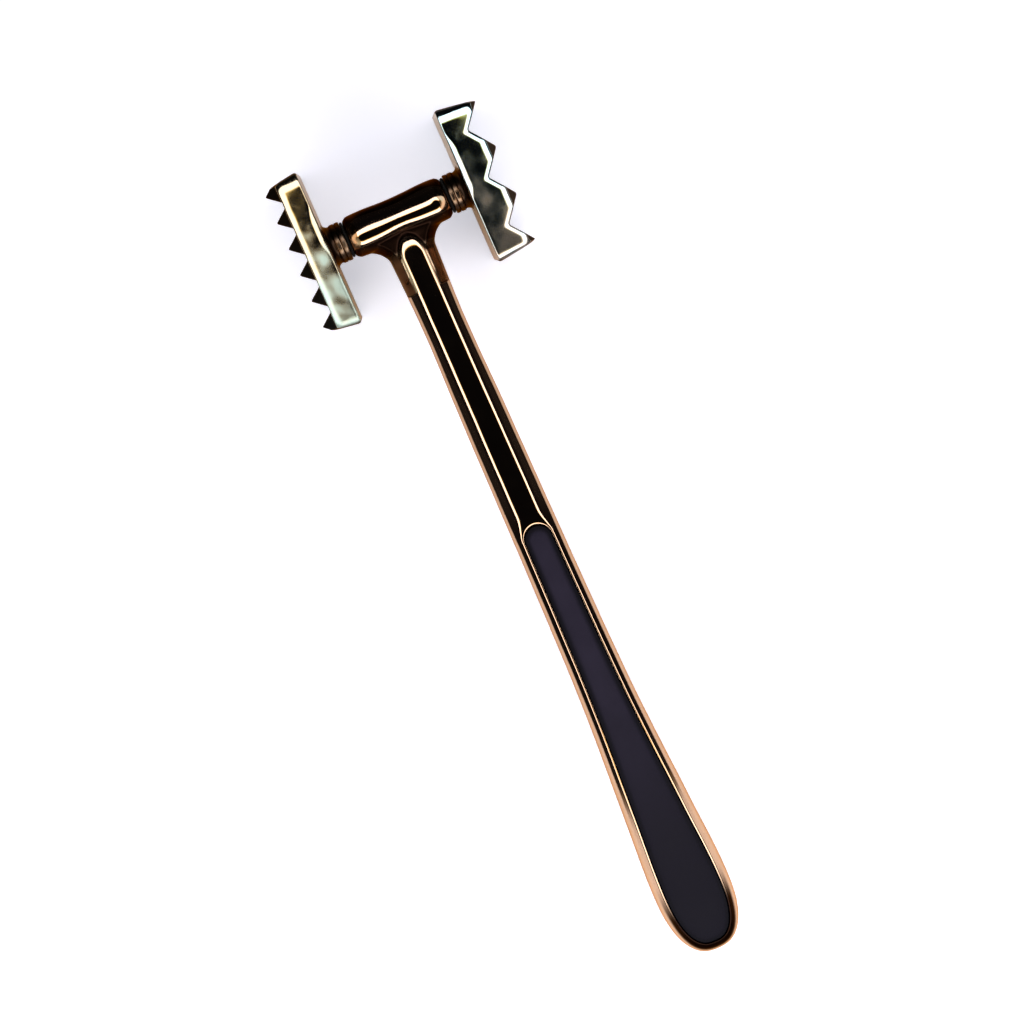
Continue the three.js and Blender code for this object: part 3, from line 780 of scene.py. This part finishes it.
def painted_casting_shade(sheet):
    """Painted shade on the casting, 0 to 1: under the crossbar's shoulders, beside the nose and at the tip.
    """
    x, y, z = np.moveaxis(np.abs(sheet), -1, 0)
    distance = -sheet[..., 1]
    bright_from = mixed(*bright_level, smoothstep(-distance, *bright_level_change))
    shoulders = 1 - smoothstep(z - bright_from, 0.0, shoulder_soft)
    shoulders = shoulders * (1 - smoothstep(distance, *shoulder_fade))
    from_nose = np.hypot(x / hollow_half_width, np.maximum(hollow_end - distance, 0) / hollow_length)
    hollow = between(distance, *hollow_span) * smoothstep(from_nose, *hollow_edge)
    tip_levels = [palm_half_thickness - below for below in tip_painted_shade_below_top]
    tip = smoothstep(distance, *tip_painted_shade) * smoothstep(z, *tip_levels)
    return np.maximum(np.maximum(shoulders, hollow), tip)


def object_noise(tree, scale, detail=2.0, **settings):
    """A noise over the Object coordinates."""
    noise = add_node(tree, "TexNoise", {"Scale": scale, "Detail": detail}, **settings)
    link(tree, (add_node(tree, "TexCoord"), "Object", noise, "Vector"))
    return noise


def faded_by(tree, point_attribute, source, output, end):
    """A mix that goes from a node's output to an end value, as a point attribute goes from 0 to 1."""
    mix = add_node(tree, "Mix", {"B": end}, data_type="FLOAT" if isinstance(end, float) else "RGBA")
    amount = add_node(tree, "Attribute", attribute_name=point_attribute)
    link(tree, (amount, "Fac", mix, "Factor"), (source, output, mix, "A"))
    return mix


def dented_by(tree, shader, noise, strength, depth):
    """The shader's surface dented by a noise."""
    bump = add_node(tree, "Bump", {"Strength": strength, "Distance": depth})
    link(tree,
         (noise, "Fac", bump, "Height"),
         (bump, "Normal", shader, "Normal"))


def plated_metal(name, colours, roughness, seed, painted_reflection_shift=(0.0, 0.0)):
    """Polished dark bronze plating: a warm mirror with a faint mottle and a ripple in the polish.

    Colours and roughness are the two ends of the mottle: on the handle and rings a random tone of the
    plating, on the plates a painted reflection of a room. The painted reflection shift is added to the noise
    at the near and at the far end of the head, so that a plate's painted reflection runs from one colour
    towards the other. The point attribute rubbed, 0 to 1, gives the plating the handle's bronze, and the
    attribute shade turns it to a dark, dull painted shade.
    """
    material, tree, shader = node_material(name)
    shader.inputs["Metallic"].default_value = 1.0
    shader.inputs["Specular Tint"].default_value = (*grazing_tint, 1)
    mottle_and_painted_reflection = object_noise(tree, cloud_scale, cloud_detail, noise_dimensions="4D")
    mottle_and_painted_reflection.inputs["W"].default_value = seed
    mottle_and_painted_reflection.inputs["Roughness"].default_value = cloud_roughness
    place = add_node(tree, "SeparateXYZ")
    reflection_shift_along_head = add_node(tree, "MapRange", {
        "From Min": HEAD_Y - plate_half_length * MM, "From Max": HEAD_Y + plate_half_length * MM,
        "To Min": painted_reflection_shift[0], "To Max": painted_reflection_shift[1]})
    mottle_plus_reflection_shift = add_node(tree, "Math", operation="ADD")
    tint = add_ramp(tree, *zip(mottle_and_reflection_span, colours))
    rough = add_node(tree, "MapRange", {
        "From Min": cloud_gloss_span[0], "From Max": cloud_gloss_span[1],
        "To Min": roughness[0], "To Max": roughness[1]})
    link(tree,
         (add_node(tree, "TexCoord"), "Object", place, "Vector"),
         (place, "Y", reflection_shift_along_head, "Value"),
         (mottle_and_painted_reflection, "Fac", mottle_plus_reflection_shift, 0),
         (reflection_shift_along_head, "Result", mottle_plus_reflection_shift, 1),
         (mottle_plus_reflection_shift, 0, tint, "Fac"),
         (mottle_plus_reflection_shift, 0, rough, "Value"))
    warm = faded_by(tree, "rubbed", tint, "Color", (*bronze, 1))
    darkened = faded_by(tree, "shade", warm, "Result", (*painted_shade_colour, 1))
    dulled = faded_by(tree, "shade", rough, "Result", dark_roughness)
    link(tree, (darkened, "Result", shader, "Base Color"), (dulled, "Result", shader, "Roughness"))
    dented_by(tree, shader, object_noise(tree, ripple_scale), ripple_strength, ripple_depth)
    return material


handle_metal = plated_metal("handle_plating", (bronze, worn_bronze), (0.05, 0.09), 1.0)
# Painted shade on the casting, with the recess's wall and floor fully dark
casting_painted_shade = [np.maximum(painted_casting_shade(sheet), recess) for sheet, recess in zip(cast_sheets, recess_painted_shade * 4)]
closed_piece("cast_handle", [cast_waves(sheet) for sheet in cast_sheets], handle_metal,
             "handle_casting", "dark_plated_metal", shade=casting_painted_shade)

# Grip inlays
# A moulded rubber inlay fills the recess in each face of the grip, slightly crowned and matte,
# with a hairline gap to the recess's wall.
pad_inset = 3.22
pad_under = 1.5
pad_edge_drop = 0.45
pad_edge_radius = 0.45
pad_edge_steps, pad_crown_steps = 7, 17
pad_crown = 1.0
pad_crown_power = 2.6
pad_edge_shade_reach = 0.45
palm_painted_shade = 0.80
palm_painted_shade_change = (130.0, 225.0)

rubber_clear = (0.3, (0.0110, 0.0088, 0.0185))
rubber_bloom = (0.75, (0.0155, 0.0126, 0.0250))
# Colour of the inlay's painted shade
rubber_painted_shade_colour = (0.002, 0.0018, 0.004)
rubber_roughness = (0.55, 0.75)
bloom_scale, bloom_detail = 90.0, 4.0
grain_scale, grain_detail, grain_strength, grain_depth = 2600.0, 3.0, 0.35, 0.00006

pad_outline, pad_inward = recess_outline(pad_inset)
pad_top = handle_half_thickness(pad_outline[:, 1])
pad_middle = middle_line(pad_outline[:, 1])
edge_turn = np.linspace(0, np.pi / 2, pad_edge_steps)
edge_in = pad_edge_radius * (1 - np.cos(edge_turn))
edge_up = pad_edge_radius * np.sin(edge_turn) - pad_edge_radius
flat_edge = pad_outline[:, None, :] + pad_inward[:, None, :] * edge_in[None, :, None]
edge_rows = on_side(flat_edge, (pad_top - pad_edge_drop)[:, None] + edge_up[None, :])
t = np.linspace(0, 1, pad_crown_steps)[1:]
flat_crown = mixed(flat_edge[:, -1:, :], pad_middle[:, None, :], t[None, :, None])
crown_up = pad_crown * (1 - (1 - t) ** pad_crown_power)
crown_rows = on_side(flat_crown, (pad_top - pad_edge_drop)[:, None] + crown_up[None, :])
under_edge = on_side(pad_outline, pad_top - pad_under)[:, None, :]
under_middle = on_side(pad_middle, pad_top - pad_under)[:, None, :]
pad_sheet = np.concatenate([under_middle, under_edge, edge_rows, crown_rows], 1)
# Painted shade on the inlay: dark along its edge by the recess's wall, fading over the crown, and darker
# towards the handle's end
pad_painted_shade = np.concatenate([np.ones(pad_edge_steps + 2), 1 - smoothstep(t, 0.0, pad_edge_shade_reach)])[None, :]
pad_painted_shade = np.maximum(pad_painted_shade, palm_painted_shade * smoothstep(-pad_sheet[..., 1], *palm_painted_shade_change))

rubber, rubber_tree, rubber_shader = node_material("grip_rubber_matte")
rubber_shader.inputs["Specular IOR Level"].default_value = 0.07
bloom = object_noise(rubber_tree, bloom_scale, bloom_detail)
rubber_tint = add_ramp(rubber_tree, rubber_clear, rubber_bloom)
rubber_rough = add_node(rubber_tree, "MapRange", {
    "To Min": rubber_roughness[0], "To Max": rubber_roughness[1]})
rubber_colour = faded_by(rubber_tree, "shade", rubber_tint, "Color", (*rubber_painted_shade_colour, 1))
link(rubber_tree,
     (bloom, "Fac", rubber_tint, "Fac"),
     (bloom, "Fac", rubber_rough, "Value"),
     (rubber_colour, "Result", rubber_shader, "Base Color"),
     (rubber_rough, "Result", rubber_shader, "Roughness"))
dented_by(rubber_tree, rubber_shader, object_noise(rubber_tree, grain_scale, grain_detail), grain_strength,
          grain_depth)

for grip_name, flip in (("front_grip", 1), ("back_grip", -1)):
    pad_sheets = [half * [1, 1, flip] for half in mirrored([pad_sheet], 0)]
    closed_piece(grip_name + "_inlay", pad_sheets, rubber, grip_name, "grip_rubber",
                 shade=[pad_painted_shade, pad_painted_shade])

# Toothed plates
# Each plate is cast with its neck: a flat back, four drafted sides with softened edges, and a
# face of pyramid teeth, cut off part-way where the sides cross them. Fine on the left, coarse
# on the right.
plate_back = 22.0
plate_half_height = 27.0
plate_thickness = 7.1
plate_draft = math.radians(8)
plate_lean = 0.0006
plate_wave_amount, plate_wave_length, plate_wave_phase = 0.02, 15.0, 1.9

# Corners of the plate's outline at its far and near end, as arcs: start angle, end angle, radius
far_corner = ((0, 15, 12.0), (15, 90, 2.1))
near_corner = ((0, 20, 4.0), (20, 34, 5.8), (34, 90, 2.0))

# Edges of the plate: tight at the back, with a facet that is wide in its middle, and soft at the face
back_tight_radius = 0.35
back_facet = (math.radians(-28), math.radians(-17))
back_facet_radius = (0.8, 8.0)
back_facet_fade = (5.0, 1.0)
back_ease_radius = 1.8
back_edge_steps = (7, 7, 8)
steeper = 0.03
soft_edge_radius = 7.0
soft_edge_angle = math.radians(25)
soft_edge_steps = 9
side_rows = 6
crisp_edge = 0.25
crisp_rows = ((0.35, 0.62), (0.68, 0.90), (1.0, 1.0))
back_rows = (0, 0.006, 0.1, 0.5, 0.9, 0.997, 1)
tooth_ridge_ease, tooth_foot_ease = 0.25, 0.15

neck_radius = 6.1
neck_edge = 0.35
collar_face = 18.4
collar_end = 20.0
flare_length = 2.0
flare_rise = 1.9
plate_bore_end = 26.9

# Painted shade on the teeth and the plates' end faces, backs rubbed to bronze in the middle, and painted
# shade on the necks, lifted in a patch where the lamp's highlight falls
teeth_painted_shade = 0.94
end_painted_shade = 0.9
end_painted_shade_turn = (0.55, 0.8)
back_rubbed = 0.75
back_rubbed_fade = (8.0, 14.0)
neck_painted_shade_amount = 0.98
patch_clear, patch_place, patch_reach = 0.62, -1.3, 2.0
patch_fade = (19.8, 20.4)


def arc(cx, cr, radius, start, end, steps):
    """Points [x, radius] along an arc, its angles in degrees from the X axis."""
    turn = np.radians(np.linspace(start, end, steps + 1))
    return np.stack([cx + radius * np.cos(turn), cr + radius * np.sin(turn)], -1)


def tooth_wave(across, pitch, height, valley, tip, rows):
    """Height along one direction: rows of straight-sided teeth with a narrow flat valley and tip."""
    slope = height / ((pitch - valley - tip) / 2)
    from_valley = pitch / 2 - np.abs((across + rows * pitch / 2) % pitch - pitch / 2)
    wave = np.clip((from_valley - valley / 2) * slope, 0, height)
    return np.where(np.abs(across) > rows * pitch / 2, 0, wave)


def tooth_height(y, z, teeth):
    """Height of the face above the valleys: the lower of two crossing waves, its ridges and feet eased."""
    crossed = soft_least(tooth_wave(y, **teeth), tooth_wave(z, **teeth), tooth_ridge_ease)
    return np.maximum(-soft_least(-crossed, 0, tooth_foot_ease), 0)


def painted_neck_shade(sheet):
    """Painted shade on necks and rings, dark and dull, lifted in a patch on the upper side where the lamp's
    highlight falls.
    """
    x, y, z = np.moveaxis(sheet, -1, 0)
    patch = gauss(y, patch_place, patch_reach) * (z > 0) * (1 - smoothstep(np.abs(x), *patch_fade))
    return neck_painted_shade_amount - patch_clear * patch


def corner_path(arcs):
    """A corner made of arcs, each starting where the last one ends: run along the side, drop, and angle."""
    run, drop, angle = np.zeros(1), np.zeros(1), np.zeros(1)
    for start, end, radius in arcs:
        turn = np.radians(np.linspace(start, end, 2 * (end - start) + 1))[1:]
        run = np.append(run, run[-1] + radius * (np.sin(turn) - np.sin(angle[-1])))
        drop = np.append(drop, drop[-1] + radius * (np.cos(angle[-1]) - np.cos(turn)))
        angle = np.append(angle, turn)
    return run, drop, angle


def even_places(low, high, step):
    """Whole steps between two ends, without those that crowd an end."""
    places = np.arange(math.ceil(low / step), math.floor(high / step) + 1) * step
    return places[(places > low + step / 3) & (places < high - step / 3)]


def plate_outline(step):
    """Outline of a plate's back in y and z, clockwise from the low-y end of its upper side.

    It gives places, normals and the counts along an upper side and an end side. Each corner is shared
    between the two sides where its normal passes 45 degrees.
    """
    far_run, far_drop, far_angle = corner_path(far_corner)
    near_run, near_drop, near_angle = corner_path(near_corner)
    y_far, y_near = plate_half_length - far_run[-1], plate_half_length - near_run[-1]
    z_far, z_near = plate_half_height - far_drop[-1], plate_half_height - near_drop[-1]
    half = math.pi / 4
    y_last = y_far + np.interp(half, far_angle, far_run)
    y_first = -y_near - np.interp(half, near_angle, near_run)
    z_far_last = plate_half_height - np.interp(half, far_angle, far_drop)
    z_near_last = plate_half_height - np.interp(half, near_angle, near_drop)
    ys = np.concatenate([[y_first], even_places(y_first, y_last, step), [y_last]])
    inner_last = min(z_far_last, z_near_last)
    inner_zs = even_places(-inner_last, inner_last, step)
    top_angle = np.interp(ys - y_far, far_run, far_angle) - np.interp(-ys - y_near, near_run, near_angle)
    top_drop = np.interp(ys - y_far, far_run, far_drop) + np.interp(-ys - y_near, near_run, near_drop)
    top = np.stack([ys, plate_half_height - top_drop], -1)
    top_normal = np.stack([np.sin(top_angle), np.cos(top_angle)], -1)

    def end_side(last, flat, run, drop, angle):
        """The end face's side of the outline, from its upper corner down, at y above 0."""
        zs = np.concatenate([[-last], inner_zs, [last]])[::-1]
        to_angle = np.interp(drop[-1] - np.maximum(np.abs(zs) - flat, 0), drop, angle)
        back = run[-1] - np.interp(to_angle, angle, run)
        normal = np.stack([np.sin(to_angle), np.cos(to_angle) * np.sign(zs)], -1)
        return np.stack([plate_half_length - back, zs], -1), normal

    right, right_normal = end_side(z_far_last, z_far, far_run, far_drop, far_angle)
    left, left_normal = end_side(z_near_last, z_near, near_run, near_drop, near_angle)
    places = [top, right, top[::-1] * [1, -1], left[::-1] * [-1, 1]]
    normals = [top_normal, right_normal, top_normal[::-1] * [1, -1], left_normal[::-1] * [-1, 1]]
    place = np.concatenate([part[:-1] for part in places] + [top[:1]])
    normal = np.concatenate([part[:-1] for part in normals] + [top_normal[:1]])
    return place, normal, len(top) - 1, len(right) - 1


def toothed_plate_sheets(teeth, cells, facet_span):
    """Face, side band, back and turned neck of a plate on the +X side, with their shade and rubbed arrays.

    The side band's rows follow the back's edge, the drafted side and the face's edge, each row the outline
    drawn in by an inset. The face fills the band's last row by blending its four sides (a Coons patch).
    """
    outline, normals, count_y, count_z = plate_outline(teeth["pitch"] / 2 / cells)

    def at_inset(inset, x=0):
        """The outline drawn in by an inset, its upper and lower sides a little less than the others."""
        return outline - normals * (np.stack([inset, inset - x * steeper], -1))

    soft_run = soft_edge_radius * (math.sin(soft_edge_angle) - math.sin(plate_draft))
    soft_inset = soft_edge_radius * (math.cos(plate_draft) - math.cos(soft_edge_angle))
    face_x = np.full(len(outline), plate_thickness)
    for _ in range(8):
        face_inset = (face_x - soft_run - crisp_edge) * math.tan(plate_draft) + soft_inset + crisp_edge
        spot = at_inset(face_inset, face_x)
        face_x = plate_thickness + tooth_height(spot[:, 0], spot[:, 1], teeth)

    fade_out, fade_in = back_facet_fade
    wide = between(outline[:, 0], (facet_span[0] - fade_out, facet_span[0] + fade_in),
                   (facet_span[1] - fade_in, facet_span[1] + fade_out))
    facet_radius = mixed(*back_facet_radius, wide)
    tight_steps, facet_steps, ease_steps = back_edge_steps
    leans = np.concatenate([np.linspace(-math.pi / 2, back_facet[0], tight_steps),
                            np.linspace(*back_facet, facet_steps)[1:],
                            np.linspace(back_facet[1], plate_draft, ease_steps)[1:]])
    back_x, back_out = [np.zeros(len(outline))], [np.zeros(len(outline))]
    for before, lean in zip(leans[:-1], leans[1:]):
        radius = np.where(lean <= back_facet[0] + 1e-6, back_tight_radius,
                          np.where(lean <= back_facet[1] + 1e-6, facet_radius, back_ease_radius))
        back_x.append(back_x[-1] + radius * (math.sin(lean) - math.sin(before)))
        back_out.append(back_out[-1] + radius * (math.cos(lean) - math.cos(before)))
    rows = [(back_x[-1] * math.tan(plate_draft) + back_out[-1] - out, x) for x, out in zip(back_x, back_out)]
    stop = face_x - soft_run - crisp_edge
    for share_up in np.linspace(0, 1, side_rows)[1:]:
        x = mixed(back_x[-1], stop, share_up)
        rows.append((x * math.tan(plate_draft), x))
    for turn in np.linspace(plate_draft, soft_edge_angle, soft_edge_steps)[1:]:
        run = soft_edge_radius * (math.sin(turn) - math.sin(plate_draft))
        inset = soft_edge_radius * (math.cos(plate_draft) - math.cos(turn))
        rows.append((stop * math.tan(plate_draft) + inset, stop + run))
    last_inset, last_x = rows[-1]
    for share_in, share_up in crisp_rows:
        rows.append((last_inset + crisp_edge * share_in, last_x + crisp_edge * share_up))
    band = np.stack([np.concatenate([x[:, None], at_inset(inset, x)], 1) for inset, x in rows], 0)

    rim = band[-1][:, 1:]
    turn_1, turn_2, turn_3 = count_y, count_y + count_z, 2 * count_y + count_z
    edge_top, edge_far = rim[: turn_1 + 1], rim[turn_1: turn_2 + 1]
    edge_bottom, edge_near = rim[turn_2: turn_3 + 1][::-1], rim[turn_3:][::-1]
    u = ((edge_top[:, 0] - edge_top[0, 0]) / (edge_top[-1, 0] - edge_top[0, 0]))[:, None, None]
    v = ((edge_far[:, 1] - edge_far[0, 1]) / (edge_far[-1, 1] - edge_far[0, 1]))[None, :, None]
    corners = ((1 - u) * (1 - v) * edge_top[0] + u * (1 - v) * edge_top[-1]
               + (1 - u) * v * edge_bottom[0] + u * v * edge_bottom[-1])
    plan = ((1 - v) * edge_top[:, None, :] + v * edge_bottom[:, None, :]
            + (1 - u) * edge_near[None, :, :] + u * edge_far[None, :, :] - corners)
    plan[:, 0], plan[:, -1], plan[0], plan[-1] = edge_top, edge_bottom, edge_near, edge_far
    height = plate_thickness + tooth_height(plan[..., 0], plan[..., 1], teeth)
    face = np.concatenate([height[..., None], plan], -1)

    flare = np.radians(np.linspace(6, 90, 12))
    neck_profile = np.concatenate([
        [[plate_bore_end, 0], [plate_bore_end, bore_radius], [collar_face, bore_radius]],
        arc(collar_face + neck_edge, neck_radius - neck_edge, neck_edge, 180, 90, 4),
        arc(collar_end - neck_edge, neck_radius - neck_edge, neck_edge, 90, 20, 4),
        np.stack([plate_back - flare_length * (1 - np.sin(flare)),
                  neck_radius - neck_edge + flare_rise * (1 - np.cos(flare))], -1)])
    neck = turned_sheet(neck_profile, np.arctan2(outline[:, 1], outline[:, 0]))
    shift = np.array([plate_back, 0, 0])
    foot = neck[-1] - shift
    back = np.stack([mixed(foot, band[0], share_out) for share_out in back_rows], 0)
    # Painted shade on the plates' end faces, toothed faces and necks, and the rubbed bronze of the backs and
    # necks
    ends = end_painted_shade * smoothstep(np.abs(normals[:, 0]), *end_painted_shade_turn)
    attribute_values = back_rubbed * (1 - smoothstep(np.abs(back[..., 2]), *back_rubbed_fade))
    shades = [np.full(face.shape[:2], teeth_painted_shade), np.tile(ends, (len(band), 1)), 0 * attribute_values, painted_neck_shade(neck)]
    rubbed = [np.zeros(face.shape[:2]), np.zeros(band.shape[:2]), attribute_values, np.ones(neck.shape[:2])]
    return [face + shift, band + shift, back + shift, neck], shades, rubbed


fine_teeth = dict(rows=6, pitch=8.24, height=3.9, valley=1.8, tip=0.3)
coarse_teeth = dict(rows=4, pitch=14.87, height=5.5, valley=0.5, tip=0.5)
# Colours of the plates: a painted reflection of a room, teal, olive and grey-green, running along each plate
# from one colour towards the other
fine_painted_reflection_colours = ((0.36, 0.30, 0.21), (0.42, 0.52, 0.47))
coarse_painted_reflection_colours = ((0.30, 0.41, 0.44), (0.46, 0.42, 0.38))
fine_metal = plated_metal("fine_plate_plating", fine_painted_reflection_colours, (0.10, 0.42), 3.0, (0.26, -0.34))
coarse_metal = plated_metal("coarse_plate_plating", coarse_painted_reflection_colours, (0.06, 0.20), 7.0, (0.22, -0.22))
for plate_name, side_sign, teeth, cells, facet_span, metal in (
        ("fine_plate", -1, fine_teeth, 14, (2.5, 9.5), fine_metal),
        ("coarse_plate", 1, coarse_teeth, 25, (0.5, 12.5), coarse_metal)):
    plate_sheets, plate_shades, plate_rubbed = toothed_plate_sheets(teeth, cells, facet_span)
    plate_sheets = [uneven(sheet * [side_sign, 1, 1],
                           plate_wave_amount * smoothstep(sheet[..., 0], plate_back - 1, plate_back + 2),
                           plate_wave_length, plate_wave_phase + side_sign) for sheet in plate_sheets]
    for sheet in plate_sheets:
        sheet[..., 2] *= 1 + plate_lean * sheet[..., 1] * (sheet[..., 2] > 0)
    closed_piece("cast_" + plate_name, plate_sheets, metal, plate_name, "dark_plated_metal",
                 shade=plate_shades, rubbed=plate_rubbed)

# Lock rings and seals
# A narrow plated ring turns up against each plate's collar, and a rubber ring fills the groove
# between it and the crossbar.
ring_inner = 16.9
ring_outer = 18.37
ring_turns = np.linspace(0, 2 * np.pi, 97)
seal_inner = 15.05
seal_gap = 0.05
seal_bore_radius = bore_radius + 0.15
seal_foot_radius = seat_radius - 0.4
seal_waist_radius = seat_radius - 0.15
seal_lip_radius = 5.6
seal_lip = 0.45
seal_scale = 700.0
seal_colours = ((0.0, (0.0030, 0.0026, 0.0026)), (1.0, (0.0060, 0.0050, 0.0050)))

ring_profile = np.concatenate([
    [[ring_inner, bore_radius]],
    arc(ring_inner + neck_edge, neck_radius - neck_edge, neck_edge, 180, 90, 4),
    arc(ring_outer - neck_edge, neck_radius - neck_edge, neck_edge, 90, 0, 4),
    [[ring_outer, bore_radius], [ring_inner, bore_radius]]])
seal_profile = np.concatenate([
    [[seal_inner, seal_bore_radius], [seal_inner, seal_foot_radius],
     [bar_half_length + seal_gap, seal_waist_radius]],
    arc(ring_inner - seal_gap - seal_lip, seal_lip_radius - seal_lip, seal_lip, 180, 0, 10),
    [[ring_inner - seal_gap, seal_bore_radius], [seal_inner, seal_bore_radius]]])
ring_sheet = turned_sheet(ring_profile, ring_turns)
seal_sheet = turned_sheet(seal_profile, ring_turns)

ring_metal = plated_metal("lock_ring_plating", (bronze, worn_bronze), (0.2, 0.4), 5.0)
seal_rubber, seal_tree, seal_shader = node_material("seal_rubber_black")
seal_shader.inputs["Roughness"].default_value = 0.75
seal_shader.inputs["Specular IOR Level"].default_value = 0.10
seal_tint = add_ramp(seal_tree, *seal_colours)
link(seal_tree,
     (object_noise(seal_tree, seal_scale), "Fac", seal_tint, "Fac"),
     (seal_tint, "Color", seal_shader, "Base Color"))

for end_name, side_sign in (("fine", -1), ("coarse", 1)):
    closed_piece(end_name + "_ring", [ring_sheet * [side_sign, 1, 1]], ring_metal,
                 end_name + "_lock_ring", "dark_plated_metal", shade=[painted_neck_shade(ring_sheet)])
    closed_piece(end_name + "_seal_ring", [seal_sheet * [side_sign, 1, 1]], seal_rubber,
                 end_name + "_seal", "seal_rubber")

# Studs
# Plain steel studs hold the plates. They are hidden inside the necks, so their CAD shape stays and
# only gets its material.
steel_scale = 500.0
steel_colours = ((0.0, (0.42, 0.43, 0.44)), (1.0, (0.60, 0.61, 0.62)))
steel_roughness = (0.25, 0.45)

steel, steel_tree, steel_shader = node_material("stud_steel")
steel_shader.inputs["Metallic"].default_value = 1.0
steel_noise = object_noise(steel_tree, steel_scale)
steel_tint = add_ramp(steel_tree, *steel_colours)
steel_rough = add_node(steel_tree, "MapRange", {"To Min": steel_roughness[0], "To Max": steel_roughness[1]})
link(steel_tree,
     (steel_noise, "Fac", steel_tint, "Fac"),
     (steel_noise, "Fac", steel_rough, "Value"),
     (steel_tint, "Color", steel_shader, "Base Color"),
     (steel_rough, "Result", steel_shader, "Roughness"))
for stud_name in ("fine_stud", "coarse_stud"):
    for material_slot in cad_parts[stud_name].material_slots:
        material_slot.material = steel
